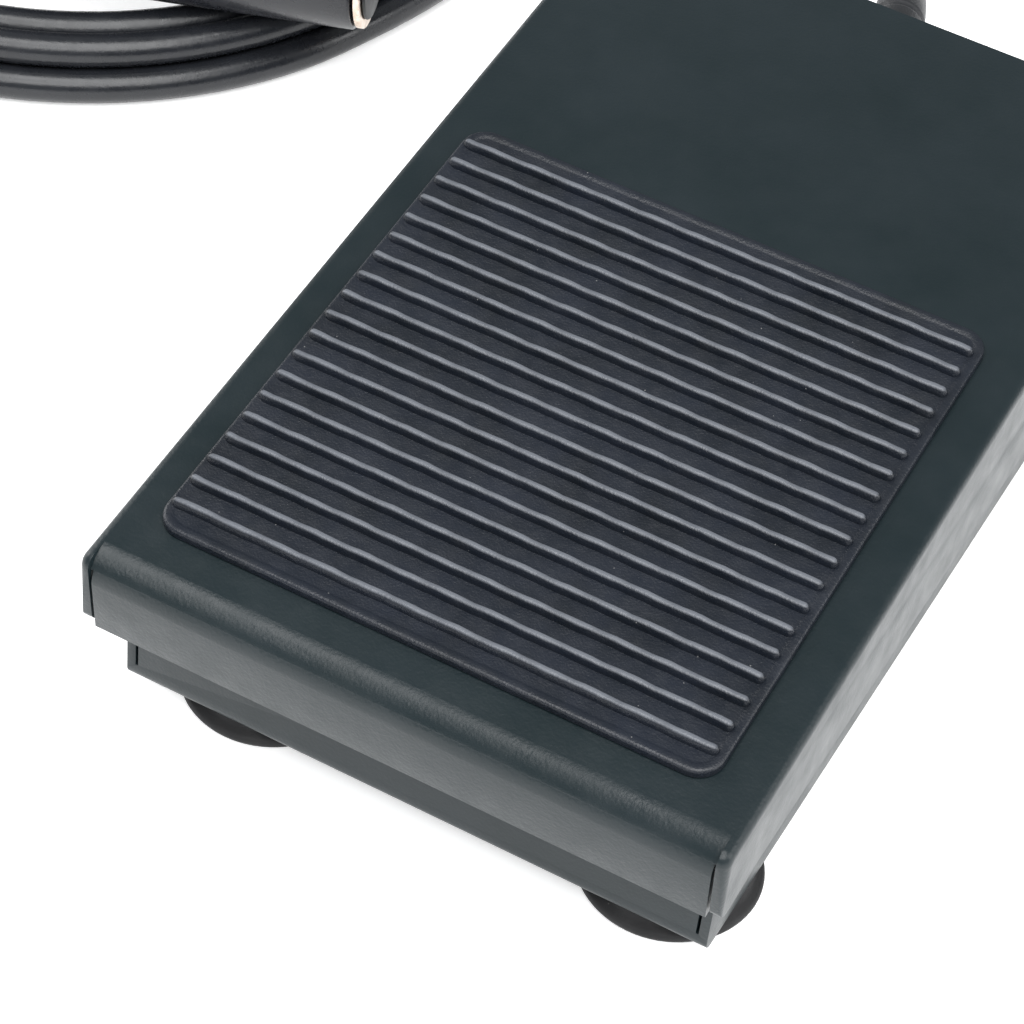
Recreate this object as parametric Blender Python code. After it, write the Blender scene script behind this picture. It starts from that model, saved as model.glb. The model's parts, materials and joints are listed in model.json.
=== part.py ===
"""A sustain pedal: a steel cover hinged over a steel tray, with a snap switch, a coiled cable and a plug.

Metres, +Z up, +X to the right, +Y towards the rear, where the cable leaves.
The origin is on the floor, under the middle of the pedal.
"""

import math

import bmesh
import bpy
from mathutils import Matrix, Vector

# Overall sizes of the pedal
WIDTH = 0.070
LENGTH = 0.111
SLOPE = math.radians(5.85)
FRONT_HEIGHT = 0.0237
GAP = 0.0003

# Cover, in its own tilted frame: y along the top from the front face, z up from the top face
COVER_SHEET = 0.0012
FRONT_BEND = 0.0035
SIDE_BEND = 0.0011
FRONT_FLANGE = 0.0097
SIDE_FLANGE_BOTTOM = 0.0150
SEAM = 0.0003
SEAM_TOP = -0.0016
SIDE_CORNER = 0.0015
NOSE_DROP = 0.0010
NOSE_LENGTH = 0.0080
NOSE_RADIUS = 0.0018

# Tread pad, in the cover's frame
PAD_LEFT = -0.0308
PAD_RIGHT = 0.0298
PAD_FRONT = 0.0068
PAD_REAR = 0.0707
PAD_BASE = 0.0008
PAD_CORNER = 0.0028
RIBS = 19
RIB_WIDTH = 0.0012
RIB_HEIGHT = 0.0007
RIB_MARGIN_LEFT = 0.0004
RIB_MARGIN_RIGHT = 0.0009

# Tray
TRAY_SHEET = 0.0010
TRAY_HALF_WIDTH = 0.03275
TRAY_BOTTOM = 0.0030
TRAY_FRONT = 0.0056
TRAY_REAR = 0.1085
TRAY_BEND = 0.0013
TRAY_FRONT_TOP = 0.0146
TRAY_SIDE_TOP_FRONT = 0.0155
TRAY_SIDE_TOP_REAR = 0.0314

# Hinge
HINGE_Y = 0.097
HINGE_Z = 0.024
AXLE_RADIUS = 0.0015
AXLE_GROOVE_RADIUS = 0.0011

# Feet
FOOT_RADIUS = 0.0095
FOOT_FRONT_Y = 0.0152
FOOT_REAR_Y = 0.0965
FOOT_LEFT_X = -0.0214
FOOT_RIGHT_X = 0.0244

# Return spring
SPRING_Y = 0.045
SPRING_RADIUS = 0.0050
SPRING_WIRE = 0.0012
SPRING_BOTTOM = 0.0058
SPRING_TOP = 0.0240
SPRING_TURNS = 7

# Snap switch, its lever and its bracket
SWITCH_X = 0.016
SWITCH_SIZE = (0.0103, 0.0278, 0.0159)
SWITCH_FRONT = 0.0620
SWITCH_BOTTOM = 0.0046
SWITCH_HOLES_Y = (0.0648, 0.0870)
SWITCH_HOLES_Z = 0.0085
LEVER_PIVOT_Y = 0.0840
LEVER_PIVOT_Z = 0.0223
LEVER_RISE = math.radians(7)
LEVER_LENGTH = 0.0235
LEVER_SHEET = 0.0005
BUTTON_Y = 0.0775
ACTUATOR_Y = 0.0640
SCREW_RADIUS = 0.0015
BRACKET_HOLES = ((0.0050, 0.0700), (0.0050, 0.0820))
TERMINALS = (("common", 0.0120), ("open", 0.0155), ("closed", 0.0190))

# Cable
CORD_RADIUS = 0.0021
CORD_EXIT_X = -0.004
CORD_EXIT_Z = 0.018
BOOT_TIP = 0.1395
CLAMP_HOLES = ((-0.0163, 0.0740), (-0.0037, 0.0740))

# Coil of the cable on the floor beside the pedal, its centre measured behind the cover's front face
COIL_X = -0.1192
COIL_Y = 0.1275
COIL_RADIUS = 0.0536
COIL_STEP = 0.0043
COIL_LAYER = 0.0037

# Plug that bridges the coil: the middle of its rear end, and the way its axis runs from there
PLUG_X = -0.0635
PLUG_Y = 0.1059
PLUG_Z = 0.0161
PLUG_TURN = math.radians(17.3)
PLUG_DIP = math.radians(3.15)
PLUG_RADIUS = 0.0070
PLUG_HANDLE = 0.0440
JACK_RADIUS = 0.00317
JACK_LENGTH = 0.0305

# The front face of the cover stands this far from the origin, which is in the middle of the pedal
Y_FRONT = -(LENGTH + FRONT_BEND * (math.cos(SLOPE) + math.sin(SLOPE) - 1)) / 2


def clear_scene():
    for obj in list(bpy.data.objects):
        bpy.data.objects.remove(obj, do_unlink=True)


def material(name, colour, roughness, metallic=0.0):
    """A Principled BSDF material; pieces of one kind share it."""
    made = bpy.data.materials.get(name)
    if made:
        return made
    made = bpy.data.materials.new(name)
    made.use_nodes = True
    shader = made.node_tree.nodes["Principled BSDF"]
    shader.inputs["Base Color"].default_value = (*colour, 1)
    shader.inputs["Roughness"].default_value = roughness
    shader.inputs["Metallic"].default_value = metallic
    made.diffuse_color = (*colour, 1)
    return made


def black_steel():
    return material("black_powder_coat", (0.035, 0.038, 0.039), 0.42)


def black_rubber():
    return material("black_rubber", (0.018, 0.019, 0.020), 0.62)


def zinc_steel():
    return material("zinc_plated_steel", (0.55, 0.56, 0.58), 0.32, 1.0)


def spring_steel():
    return material("spring_steel", (0.42, 0.42, 0.44), 0.28, 1.0)


def white_nylon():
    return material("white_nylon", (0.75, 0.74, 0.70), 0.45)


def black_plastic():
    return material("black_plastic", (0.022, 0.022, 0.024), 0.38)


def red_plastic():
    return material("red_plastic", (0.42, 0.05, 0.04), 0.40)


def brass():
    return material("brass", (0.72, 0.55, 0.28), 0.28, 1.0)


def nickel():
    return material("nickel", (0.66, 0.64, 0.60), 0.20, 1.0)


def cable_jacket():
    return material("cable_jacket", (0.016, 0.016, 0.018), 0.40)


def add_object(name, bm, surface, smooth=True):
    """Links a new object with this mesh, its faces pointing out, and its round faces shaded smooth."""
    bmesh.ops.recalc_face_normals(bm, faces=bm.faces)
    mesh = bpy.data.meshes.new(name)
    bm.to_mesh(mesh)
    bm.free()
    if surface:
        mesh.materials.append(surface)
    if smooth:
        mesh.shade_smooth()
        mesh.set_sharp_from_angle(angle=math.radians(35))
    obj = bpy.data.objects.new(name, mesh)
    bpy.context.scene.collection.objects.link(obj)
    return obj


def put(obj, at=(0, 0, 0), turn=(0, 0, 0), parent=None):
    """Places an object at a world point. Its parent is an empty with no rotation."""
    obj.location = Vector(at)
    if parent:
        obj.parent = parent
        obj.location -= parent.location
    obj.rotation_euler = turn
    return obj


def pivot(name, at):
    empty = bpy.data.objects.new(name, None)
    empty.empty_display_size = 0.01
    empty.location = at
    bpy.context.scene.collection.objects.link(empty)
    return empty


def world_y(y):
    """The world Y of a distance behind the cover's front face."""
    return Y_FRONT + y


def cut(obj, cutter, operation="DIFFERENCE"):
    modifier = obj.modifiers.new(operation.title(), "BOOLEAN")
    modifier.operation = operation
    modifier.solver = "EXACT"
    modifier.object = cutter
    cutter.hide_render = True
    cutter.display_type = "WIRE"
    return obj


def prism_mesh(outline, x_low, x_high):
    """A solid with this (y, z) outline, from x_low to x_high."""
    bm = bmesh.new()
    low = [bm.verts.new((x_low, y, z)) for y, z in outline]
    bm.faces.new(low)
    made = bmesh.ops.extrude_face_region(bm, geom=bm.faces[:])
    high = [v for v in made["geom"] if isinstance(v, bmesh.types.BMVert)]
    bmesh.ops.translate(bm, verts=high, vec=(x_high - x_low, 0, 0))
    return bm


def box_mesh(low, high, bevel=0.0):
    bm = bmesh.new()
    middle = (Vector(low) + Vector(high)) / 2
    size = Vector(high) - Vector(low)
    bmesh.ops.create_cube(bm, size=1, matrix=Matrix.Translation(middle) @ Matrix.Diagonal((*size, 1)))
    if bevel:
        bmesh.ops.bevel(bm, geom=bm.edges[:], offset=bevel, segments=1, affect="EDGES")
    return bm


def turned_mesh(profile, segments=24):
    """A solid of revolution about Z. Its (radius, z) profile runs from axis to axis, or closes on itself."""
    bm = bmesh.new()
    verts = [bm.verts.new((r, 0, z)) for r, z in profile]
    edges = [bm.edges.new(pair) for pair in zip(verts, verts[1:])]
    if profile[0][0] > 1e-7:
        edges.append(bm.edges.new((verts[-1], verts[0])))
    bmesh.ops.spin(
        bm,
        geom=verts + edges,
        cent=(0, 0, 0),
        axis=(0, 0, 1),
        angle=math.tau,
        steps=segments,
        use_duplicate=False,
    )
    bmesh.ops.remove_doubles(bm, verts=bm.verts, dist=1e-6)
    return bm


def arc(y, z, radius, start, end, steps):
    """Points of an arc about (y, z), from one angle to another in degrees."""
    angles = [math.radians(start + (end - start) * i / steps) for i in range(steps + 1)]
    return [(y + radius * math.cos(a), z + radius * math.sin(a)) for a in angles]


def smooth_route(points, spacing):
    """Evenly spaced points on a centripetal Catmull-Rom curve through the points of a route."""
    route = [Vector(p) for p in points]
    route = [2 * route[0] - route[1], *route, 2 * route[-1] - route[-2]]
    fine = []
    for a, b, c, d in zip(route, route[1:], route[2:], route[3:]):
        t1 = (b - a).length ** 0.5
        t2 = t1 + (c - b).length ** 0.5
        t3 = t2 + (d - c).length ** 0.5
        for i in range(24):
            t = t1 + (t2 - t1) * i / 24
            ab = a.lerp(b, t / t1)
            bc = b.lerp(c, (t - t1) / (t2 - t1))
            cd = c.lerp(d, (t - t2) / (t3 - t2))
            fine.append(ab.lerp(bc, t / t2).lerp(bc.lerp(cd, (t - t1) / (t3 - t1)), (t - t1) / (t2 - t1)))
    fine.append(route[-2])
    lengths = [0.0]
    for a, b in zip(fine, fine[1:]):
        lengths.append(lengths[-1] + (b - a).length)
    count = max(2, round(lengths[-1] / spacing))
    even = []
    at = 0
    for i in range(count + 1):
        wanted = lengths[-1] * i / count
        while at < len(lengths) - 2 and lengths[at + 1] < wanted:
            at += 1
        share = (wanted - lengths[at]) / (lengths[at + 1] - lengths[at])
        even.append(fine[at].lerp(fine[at + 1], min(1, max(0, share))))
    return even


def tube(name, points, radius, surface, resolution=2):
    """A solid round tube along a line of points."""
    curve = bpy.data.curves.new(name, "CURVE")
    curve.dimensions = "3D"
    curve.bevel_depth = radius
    curve.bevel_resolution = resolution
    curve.use_fill_caps = True
    spline = curve.splines.new("POLY")
    spline.points.add(len(points) - 1)
    for target, point in zip(spline.points, points):
        target.co = (*point, 1)
    curve.materials.append(surface)
    obj = bpy.data.objects.new(name, curve)
    bpy.context.scene.collection.objects.link(obj)
    return obj


def cylinder_cutter(name, radius, length, at, axis, parent=None, segments=20):
    """A cylinder centred on a point, along X, Y or Z."""
    half = length / 2
    bm = turned_mesh([(0, -half), (radius, -half), (radius, half), (0, half)], segments)
    turn = {"X": (0, math.pi / 2, 0), "Y": (-math.pi / 2, 0, 0), "Z": (0, 0, 0)}[axis]
    return put(add_object(name, bm, None), at, turn, parent)


def screw(name, at, turn, length, head_radius=0.0027, head_height=0.0016):
    """A pan-head screw with a cross recess. Its head's underside is at the point, and it points along -Z."""
    profile = [
        (0, -length),
        (SCREW_RADIUS * 0.7, -length),
        (SCREW_RADIUS, -length + 0.0006),
        (SCREW_RADIUS, 0),
        (head_radius, 0),
        (head_radius, head_height * 0.45),
        (head_radius * 0.72, head_height * 0.92),
        (0, head_height),
    ]
    obj = put(add_object(name, turned_mesh(profile, 12), zinc_steel()), at, turn)
    for spin in (0, math.pi / 2):
        bar = box_mesh((-0.0015, -0.00027, head_height * 0.45), (0.0015, 0.00027, head_height + 0.001))
        bmesh.ops.rotate(bar, verts=bar.verts, cent=(0, 0, 0), matrix=Matrix.Rotation(spin, 3, "Z"))
        blade = add_object(f"{name}_slot_{round(math.degrees(spin))}", bar, None)
        cut(obj, put(blade, at, turn))
    return obj


def cover_height(world_z, y):
    """The height in the cover's frame of a world height, above a point y along the cover."""
    return (world_z - FRONT_HEIGHT - y * math.sin(SLOPE)) / math.cos(SLOPE)


def under_cover(y):
    """The world height of the cover's underside at a distance y behind the front face."""
    return FRONT_HEIGHT + y * math.tan(SLOPE) - COVER_SHEET / math.cos(SLOPE)


def side_outline(inset):
    """The cover's side view in its own frame: the side folds' corner outside, the soft bend inside."""
    rear = LENGTH / math.cos(SLOPE)
    deep = 0.030
    points = [(inset, -deep)]
    if inset:
        points += arc(FRONT_BEND, -FRONT_BEND, FRONT_BEND - inset, 180, 90, 6)
        points += [(rear + 0.01, -inset), (rear + 0.01, -deep)]
    else:
        points += arc(SIDE_CORNER, -SIDE_CORNER, SIDE_CORNER, 180, 90, 4)
        points += [(rear, 0), (rear - deep * math.tan(SLOPE), -deep)]
    return points


def bend_cutter():
    """What lies outside the soft front bend, between the side folds, whose top corners stay sharper."""
    inner = WIDTH / 2 - COVER_SHEET
    beyond = 0.002
    outline = [(-beyond, -FRONT_BEND)]
    outline += arc(FRONT_BEND, -FRONT_BEND, FRONT_BEND + 0.00002, 180, 90, 6)
    outline += [(FRONT_BEND, beyond), (-beyond, beyond)]
    return prism_mesh(outline, -inner, inner)


def build_cover(hinge):
    """The treadle: one sheet with a soft front bend, sharp side folds and open seams at the front corners."""
    half = WIDTH / 2
    rear = LENGTH / math.cos(SLOPE)
    deep = -0.030
    bm = prism_mesh(side_outline(0), -half, half)
    top_edges = [
        e
        for e in bm.edges
        if all(abs(abs(v.co.x) - half) < 1e-6 and v.co.z > -SIDE_CORNER - 1e-5 for v in e.verts)
        and abs(e.verts[0].co.x - e.verts[1].co.x) < 1e-6
    ]
    bmesh.ops.bevel(bm, geom=top_edges, offset=SIDE_BEND, segments=3, affect="EDGES", profile=0.5)
    front = (0, world_y(0), FRONT_HEIGHT)
    tilt = (SLOPE, 0, 0)
    obj = put(add_object("cover", bm, black_steel()), front, tilt, hinge)

    bend = add_object("cover_bend_cutter", bend_cutter(), None)
    cut(obj, put(bend, front, tilt, hinge))
    inner = half - COVER_SHEET
    cavity = add_object("cover_cavity", prism_mesh(side_outline(COVER_SHEET), -inner, inner), None)
    cut(obj, put(cavity, front, tilt, hinge))

    low_front = cover_height(SIDE_FLANGE_BOTTOM - NOSE_DROP, 0)
    low_nose = cover_height(SIDE_FLANGE_BOTTOM, NOSE_LENGTH)
    low_rear = cover_height(SIDE_FLANGE_BOTTOM, rear + 0.01)
    behind = COVER_SHEET + 0.0004
    foot = box_mesh((SEAM / 2 - inner, -0.002, deep - 0.01), (inner - SEAM / 2, behind, -FRONT_FLANGE))
    cut(obj, put(add_object("cover_front_trim", foot, None), front, tilt, hinge))
    for side, name in ((-1, "left"), (1, "right")):
        edge = side * (inner - SEAM)
        slot = box_mesh(
            (min(edge, side * inner), -0.002, deep - 0.01),
            (max(edge, side * inner), FRONT_BEND - 0.0008, SEAM_TOP),
        )
        cut(obj, put(add_object(f"cover_seam_{name}", slot, None), front, tilt, hinge))
        skirt = arc(NOSE_RADIUS - 0.00002, low_front + NOSE_RADIUS, NOSE_RADIUS, 180, 270, 4)
        skirt += [(NOSE_LENGTH, low_nose), (rear + 0.01, low_rear), (rear + 0.01, deep - 0.01)]
        skirt += [(-0.002, deep - 0.01), (-0.002, low_front + NOSE_RADIUS)]
        span = sorted((side * (inner - 0.0001), side * (half + 0.002)))
        trim = add_object(f"cover_skirt_trim_{name}", prism_mesh(skirt, *span), None)
        cut(obj, put(trim, front, tilt, hinge))
    at = (0, world_y(HINGE_Y), HINGE_Z)
    cut(obj, cylinder_cutter("cover_axle_hole", AXLE_RADIUS + GAP, WIDTH + 0.01, at, "X", hinge))
    return obj


def build_pad(hinge):
    """A thin rubber mat with cross ribs, rounded at its corners."""
    bm = box_mesh((PAD_LEFT, PAD_FRONT, GAP), (PAD_RIGHT, PAD_REAR, GAP + PAD_BASE))
    uprights = [e for e in bm.edges if abs(e.verts[0].co.z - e.verts[1].co.z) > 1e-6]
    bmesh.ops.bevel(bm, geom=uprights, offset=PAD_CORNER, segments=4, affect="EDGES", profile=0.5)
    tilt = (SLOPE, 0, 0)
    front = (0, world_y(0), FRONT_HEIGHT)
    obj = put(add_object("tread_pad", bm, black_rubber(), smooth=False), front, tilt, hinge)
    ribs = bmesh.new()
    pitch = (PAD_REAR - PAD_FRONT) / (RIBS + 1)
    for i in range(RIBS):
        middle = PAD_FRONT + (i + 1) * pitch
        low = Vector((PAD_LEFT + RIB_MARGIN_LEFT, middle - RIB_WIDTH / 2, GAP + PAD_BASE / 2))
        high = Vector((PAD_RIGHT - RIB_MARGIN_RIGHT, middle + RIB_WIDTH / 2, GAP + PAD_BASE + RIB_HEIGHT))
        size = high - low
        place = Matrix.Translation((low + high) / 2) @ Matrix.Diagonal((*size, 1))
        bmesh.ops.create_cube(ribs, size=1, matrix=place)
    cut(obj, put(add_object("tread_pad_ribs", ribs, None), front, tilt, hinge), "UNION")
    return obj


def tray_side_outline(inset):
    """The tray's side view in world coordinates, its side walls rising to the rear."""
    front = world_y(TRAY_FRONT) + inset
    rear = world_y(TRAY_REAR) - inset
    bottom = TRAY_BOTTOM + inset
    bend = max(TRAY_BEND - inset, 0.0003)
    high = 0.05 if inset else TRAY_SIDE_TOP_REAR
    outline = arc(front + bend, bottom + bend, bend, 180, 270, 3)
    outline += arc(rear - bend, bottom + bend, bend, 270, 360, 3)
    outline.append((rear, high))
    if inset:
        outline.append((front, high))
    else:
        outline += [(world_y(HINGE_Y), high), (front, TRAY_SIDE_TOP_FRONT)]
    return outline


def build_tray():
    """The lower tray: floor, front, rear and two side walls, with open seams at the front corners."""
    bm = prism_mesh(tray_side_outline(0), -TRAY_HALF_WIDTH, TRAY_HALF_WIDTH)
    low_edges = [
        e
        for e in bm.edges
        if abs(e.verts[0].co.x - e.verts[1].co.x) < 1e-6 and all(v.co.z < TRAY_BOTTOM + 1e-5 for v in e.verts)
    ]
    bmesh.ops.bevel(bm, geom=low_edges, offset=TRAY_BEND * 0.8, segments=2, affect="EDGES", profile=0.5)
    obj = add_object("base_tray", bm, black_steel())
    inner = TRAY_HALF_WIDTH - TRAY_SHEET
    cut(obj, add_object("tray_cavity", prism_mesh(tray_side_outline(TRAY_SHEET), -inner, inner), None))

    front = world_y(TRAY_FRONT)
    reach = (front - 0.002, front + TRAY_SHEET + 0.0002)
    low_wall = box_mesh((-inner, reach[0], TRAY_FRONT_TOP), (inner, reach[1], 0.05))
    cut(obj, add_object("tray_front_wall_top", low_wall, None))
    for side, name in ((-1, "left"), (1, "right")):
        seam = sorted((side * inner, side * (inner - SEAM)))
        slot = box_mesh((seam[0], reach[0], TRAY_BOTTOM + 0.0022), (seam[1], reach[1], 0.05))
        cut(obj, add_object(f"tray_seam_{name}", slot, None))
        bush = (side * TRAY_HALF_WIDTH, world_y(HINGE_Y), HINGE_Z)
        cut(obj, cylinder_cutter(f"tray_bush_hole_{name}", 0.0028, 0.006, bush, "X"))
        for y in (FOOT_FRONT_Y, FOOT_REAR_Y):
            foot_x = FOOT_LEFT_X if side < 0 else FOOT_RIGHT_X
            at = (foot_x, world_y(y), TRAY_BOTTOM)
            hole = f"tray_foot_hole_{name}_{round(y * 1000)}"
            cut(obj, cylinder_cutter(hole, SCREW_RADIUS + GAP, 0.006, at, "Z"))
    boot = (CORD_EXIT_X, world_y(TRAY_REAR), CORD_EXIT_Z)
    cut(obj, cylinder_cutter("tray_boot_hole", 0.0045, 0.006, boot, "Y", segments=24))
    holes = [(0, SPRING_Y), *BRACKET_HOLES, *CLAMP_HOLES]
    for i, (x, y) in enumerate(holes):
        at = (x, world_y(y), TRAY_BOTTOM)
        cut(obj, cylinder_cutter(f"tray_hole_{i}", SCREW_RADIUS + GAP, 0.006, at, "Z"))
    return obj


def build_foot(name, x, y):
    """A round rubber foot: a flared rim, a narrower neck and a recess for its screw."""
    top = TRAY_BOTTOM - GAP
    profile = [
        (0.0018, top),
        (FOOT_RADIUS * 0.86, top),
        (FOOT_RADIUS * 0.88, 0.0018),
        (FOOT_RADIUS * 0.985, 0.0013),
        (FOOT_RADIUS, 0.0008),
        (FOOT_RADIUS * 0.97, 0.0002),
        (FOOT_RADIUS * 0.92, 0),
        (0.0042, 0),
        (0.0034, 0.0014 - 0.0004),
        (0.0034, 0.0018),
        (0.0018, 0.0018),
    ]
    put(add_object(f"foot_{name}", turned_mesh(profile, 24), black_rubber()), (x, world_y(y), 0))
    screw(f"foot_screw_{name}", (x, world_y(y), 0.0018 - GAP), (math.pi, 0, 0), 0.0058, 0.0027, 0.0011)


def build_feet():
    build_foot("front_left", FOOT_LEFT_X, FOOT_FRONT_Y)
    build_foot("front_right", FOOT_RIGHT_X, FOOT_FRONT_Y)
    build_foot("rear_left", FOOT_LEFT_X, FOOT_REAR_Y)
    build_foot("rear_right", FOOT_RIGHT_X, FOOT_REAR_Y)


def build_hinge():
    """The axle, grooved for its clips, with a flanged bush in each tray wall and a clip inside each bush."""
    half = WIDTH / 2 - 0.0001
    groove = TRAY_HALF_WIDTH - TRAY_SHEET - 0.0034
    width = 0.0012
    side = [(AXLE_RADIUS, half - 0.0004), (AXLE_RADIUS, groove + width / 2)]
    side += [(AXLE_GROOVE_RADIUS, groove + width / 2), (AXLE_GROOVE_RADIUS, groove - width / 2)]
    side += [(AXLE_RADIUS, groove - width / 2)]
    top = [(0, half), (AXLE_RADIUS - 0.0004, half), *side]
    profile = top + [(r, -z) for r, z in reversed(top)]
    axle = add_object("hinge_axle", turned_mesh(profile, 20), zinc_steel())
    put(axle, (0, world_y(HINGE_Y), HINGE_Z), (0, math.pi / 2, 0))

    bore = AXLE_RADIUS + GAP
    wall = TRAY_SHEET + GAP
    for sign, name in ((-1, "left"), (1, "right")):
        at = (sign * (TRAY_HALF_WIDTH - TRAY_SHEET - GAP), world_y(HINGE_Y), HINGE_Z)
        profile = [(bore, wall), (0.0025, wall), (0.0025, 0), (0.0042, 0), (0.0042, -0.0012), (bore, -0.0012)]
        bush = add_object(f"hinge_bush_{name}", turned_mesh(profile, 20), white_nylon())
        put(bush, at, (0, sign * math.pi / 2, 0))
        clip_at = (sign * groove - 0.0003, world_y(HINGE_Y), HINGE_Z)
        put(axle_clip(f"axle_clip_{name}"), clip_at, (0, math.pi / 2, 0))


def axle_clip(name):
    """An open spring clip that snaps into the axle's groove, its mouth downwards."""
    inner = AXLE_GROOVE_RADIUS + GAP
    outer = 0.0034
    bm = bmesh.new()
    angles = [math.radians(40 + 280 * i / 12) for i in range(13)]
    ring = [bm.verts.new((outer * math.cos(a), outer * math.sin(a), 0)) for a in angles]
    ring += [bm.verts.new((inner * math.cos(a), inner * math.sin(a), 0)) for a in reversed(angles)]
    bm.faces.new(ring)
    made = bmesh.ops.extrude_face_region(bm, geom=bm.faces[:])
    far = [v for v in made["geom"] if isinstance(v, bmesh.types.BMVert)]
    bmesh.ops.translate(bm, verts=far, vec=(0, 0, 0.0006))
    return add_object(name, bm, spring_steel())


def edge_strip(name, y, top, half_length, parent=None):
    """A rubber U profile pushed over the top edge of a tray wall whose outer face is at y."""
    wall_low = world_y(y) - GAP
    wall_high = world_y(y) + TRAY_SHEET + GAP
    low = top - 0.0045
    high = top + 0.0015
    outline = [
        (wall_low - 0.0008, low),
        (wall_low, low),
        (wall_low, top + GAP),
        (wall_high, top + GAP),
        (wall_high, low),
        (wall_high + 0.0008, low),
        (wall_high + 0.0008, high - 0.0004),
        (wall_high + 0.0004, high),
        (wall_low - 0.0004, high),
        (wall_low - 0.0008, high - 0.0004),
    ]
    return add_object(name, prism_mesh(outline, -half_length, half_length), black_rubber(), smooth=False)


def build_stops():
    edge_strip("front_stop_strip", TRAY_FRONT, TRAY_FRONT_TOP, 0.024)
    edge_strip("rear_rest_strip", TRAY_REAR - TRAY_SHEET, TRAY_SIDE_TOP_REAR, 0.020)


def spring_points():
    """A compression spring's wire: closed turns at both ends, open turns between."""
    steps = 10
    low = SPRING_BOTTOM + SPRING_WIRE / 2
    high = SPRING_TOP - SPRING_WIRE / 2
    closed = SPRING_WIRE * 1.12
    points = []
    for i in range(SPRING_TURNS * steps + 1):
        turn = i / steps
        ends = min(turn, 1) * closed + max(turn - (SPRING_TURNS - 1), 0) * closed
        open_share = min(max((turn - 1) / (SPRING_TURNS - 2), 0), 1)
        z = low + ends + open_share * (high - low - 2 * closed)
        angle = math.tau * turn
        y = world_y(SPRING_Y) + SPRING_RADIUS * math.sin(angle)
        points.append((SPRING_RADIUS * math.cos(angle), y, z))
    return points


def build_spring(hinge):
    """The return spring between a seat on the tray and a cap under the cover."""
    floor = TRAY_BOTTOM + TRAY_SHEET + GAP
    at = (0, world_y(SPRING_Y), 0)
    seat = [(0.0018, floor), (0.0078, floor), (0.0078, floor + 0.0012), (0.0036, floor + 0.0012)]
    seat += [(0.0034, 0.0092), (0.0018, 0.0092)]
    put(add_object("spring_seat", turned_mesh(seat, 24), white_nylon()), at)
    under = (0, world_y(SPRING_Y), TRAY_BOTTOM - GAP)
    screw("spring_seat_screw", under, (math.pi, 0, 0), 0.0055, 0.0027, 0.0015)
    tube("return_spring", spring_points(), SPRING_WIRE / 2, spring_steel(), resolution=1)

    face = SPRING_TOP + GAP
    cap = [(0, face - 0.0036), (0.0032, face - 0.0036), (0.0036, face - 0.0030), (0.0036, face)]
    cap += [(0.0072, face), (0.0072, face + 0.0018), (0, face + 0.0018)]
    bm = turned_mesh(cap, 24)
    for vert in bm.verts:
        if vert.co.z > face + 0.0010:
            vert.co.z = under_cover(SPRING_Y + vert.co.y) - GAP * 1.1
    put(add_object("spring_cap", bm, white_nylon()), at, parent=hinge)


def hex_nut(name, at, turn):
    bore = (SCREW_RADIUS + GAP) / math.cos(math.pi / 6)
    bm = turned_mesh([(bore, 0), (0.0031, 0), (0.0031, 0.0024), (bore, 0.0024)], 6)
    bmesh.ops.rotate(bm, verts=bm.verts, cent=(0, 0, 0), matrix=Matrix.Rotation(math.pi / 6, 3, "Z"))
    return put(add_object(name, bm, zinc_steel(), smooth=False), at, turn)


def build_switch():
    """A snap switch with a hinged lever, screwed to the side of a folded bracket."""
    width, length, height = SWITCH_SIZE
    low = Vector((SWITCH_X - width / 2, world_y(SWITCH_FRONT), SWITCH_BOTTOM))
    high = low + Vector(SWITCH_SIZE)
    body = add_object("switch_housing", box_mesh(low, high, 0.0004), black_plastic(), smooth=False)
    pivot_at = (SWITCH_X, world_y(LEVER_PIVOT_Y), LEVER_PIVOT_Z)
    for side in (-1, 1):
        x = SWITCH_X + side * 0.0036
        ear_low = (x - 0.0008, pivot_at[1] - 0.0017, high.z - 0.001)
        ear = box_mesh(ear_low, (x + 0.0008, pivot_at[1] + 0.0017, 0.0239))
        cut(body, add_object(f"switch_ear_{side}", ear, None), "UNION")
    cut(body, cylinder_cutter("switch_pin_hole", 0.0009, width, pivot_at, "X"))
    for i, y in enumerate(SWITCH_HOLES_Y):
        at = (SWITCH_X, world_y(y), SWITCH_HOLES_Z)
        cut(body, cylinder_cutter(f"switch_screw_hole_{i}", SCREW_RADIUS + GAP, 0.02, at, "X"))
    well = box_mesh(
        (SWITCH_X - 0.0018, world_y(BUTTON_Y) - 0.0013, high.z - 0.0030),
        (SWITCH_X + 0.0018, world_y(BUTTON_Y) + 0.0013, high.z + 0.002),
    )
    cut(body, add_object("switch_button_well", well, None))
    for name, z in TERMINALS:
        pocket = box_mesh(
            (SWITCH_X - 0.0019, high.y - 0.0020, z - 0.00055),
            (SWITCH_X + 0.0019, high.y + 0.0020, z + 0.00055),
        )
        cut(body, add_object(f"switch_pocket_{name}", pocket, None))
        build_terminal(name, z, high.y)

    pin = turned_mesh([(0, -0.0046), (0.0006, -0.0046), (0.0006, 0.0046), (0, 0.0046)], 12)
    put(add_object("lever_pin", pin, zinc_steel()), pivot_at, (0, math.pi / 2, 0))
    build_lever(pivot_at)
    build_button(high.z)
    build_bracket(low)


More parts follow.
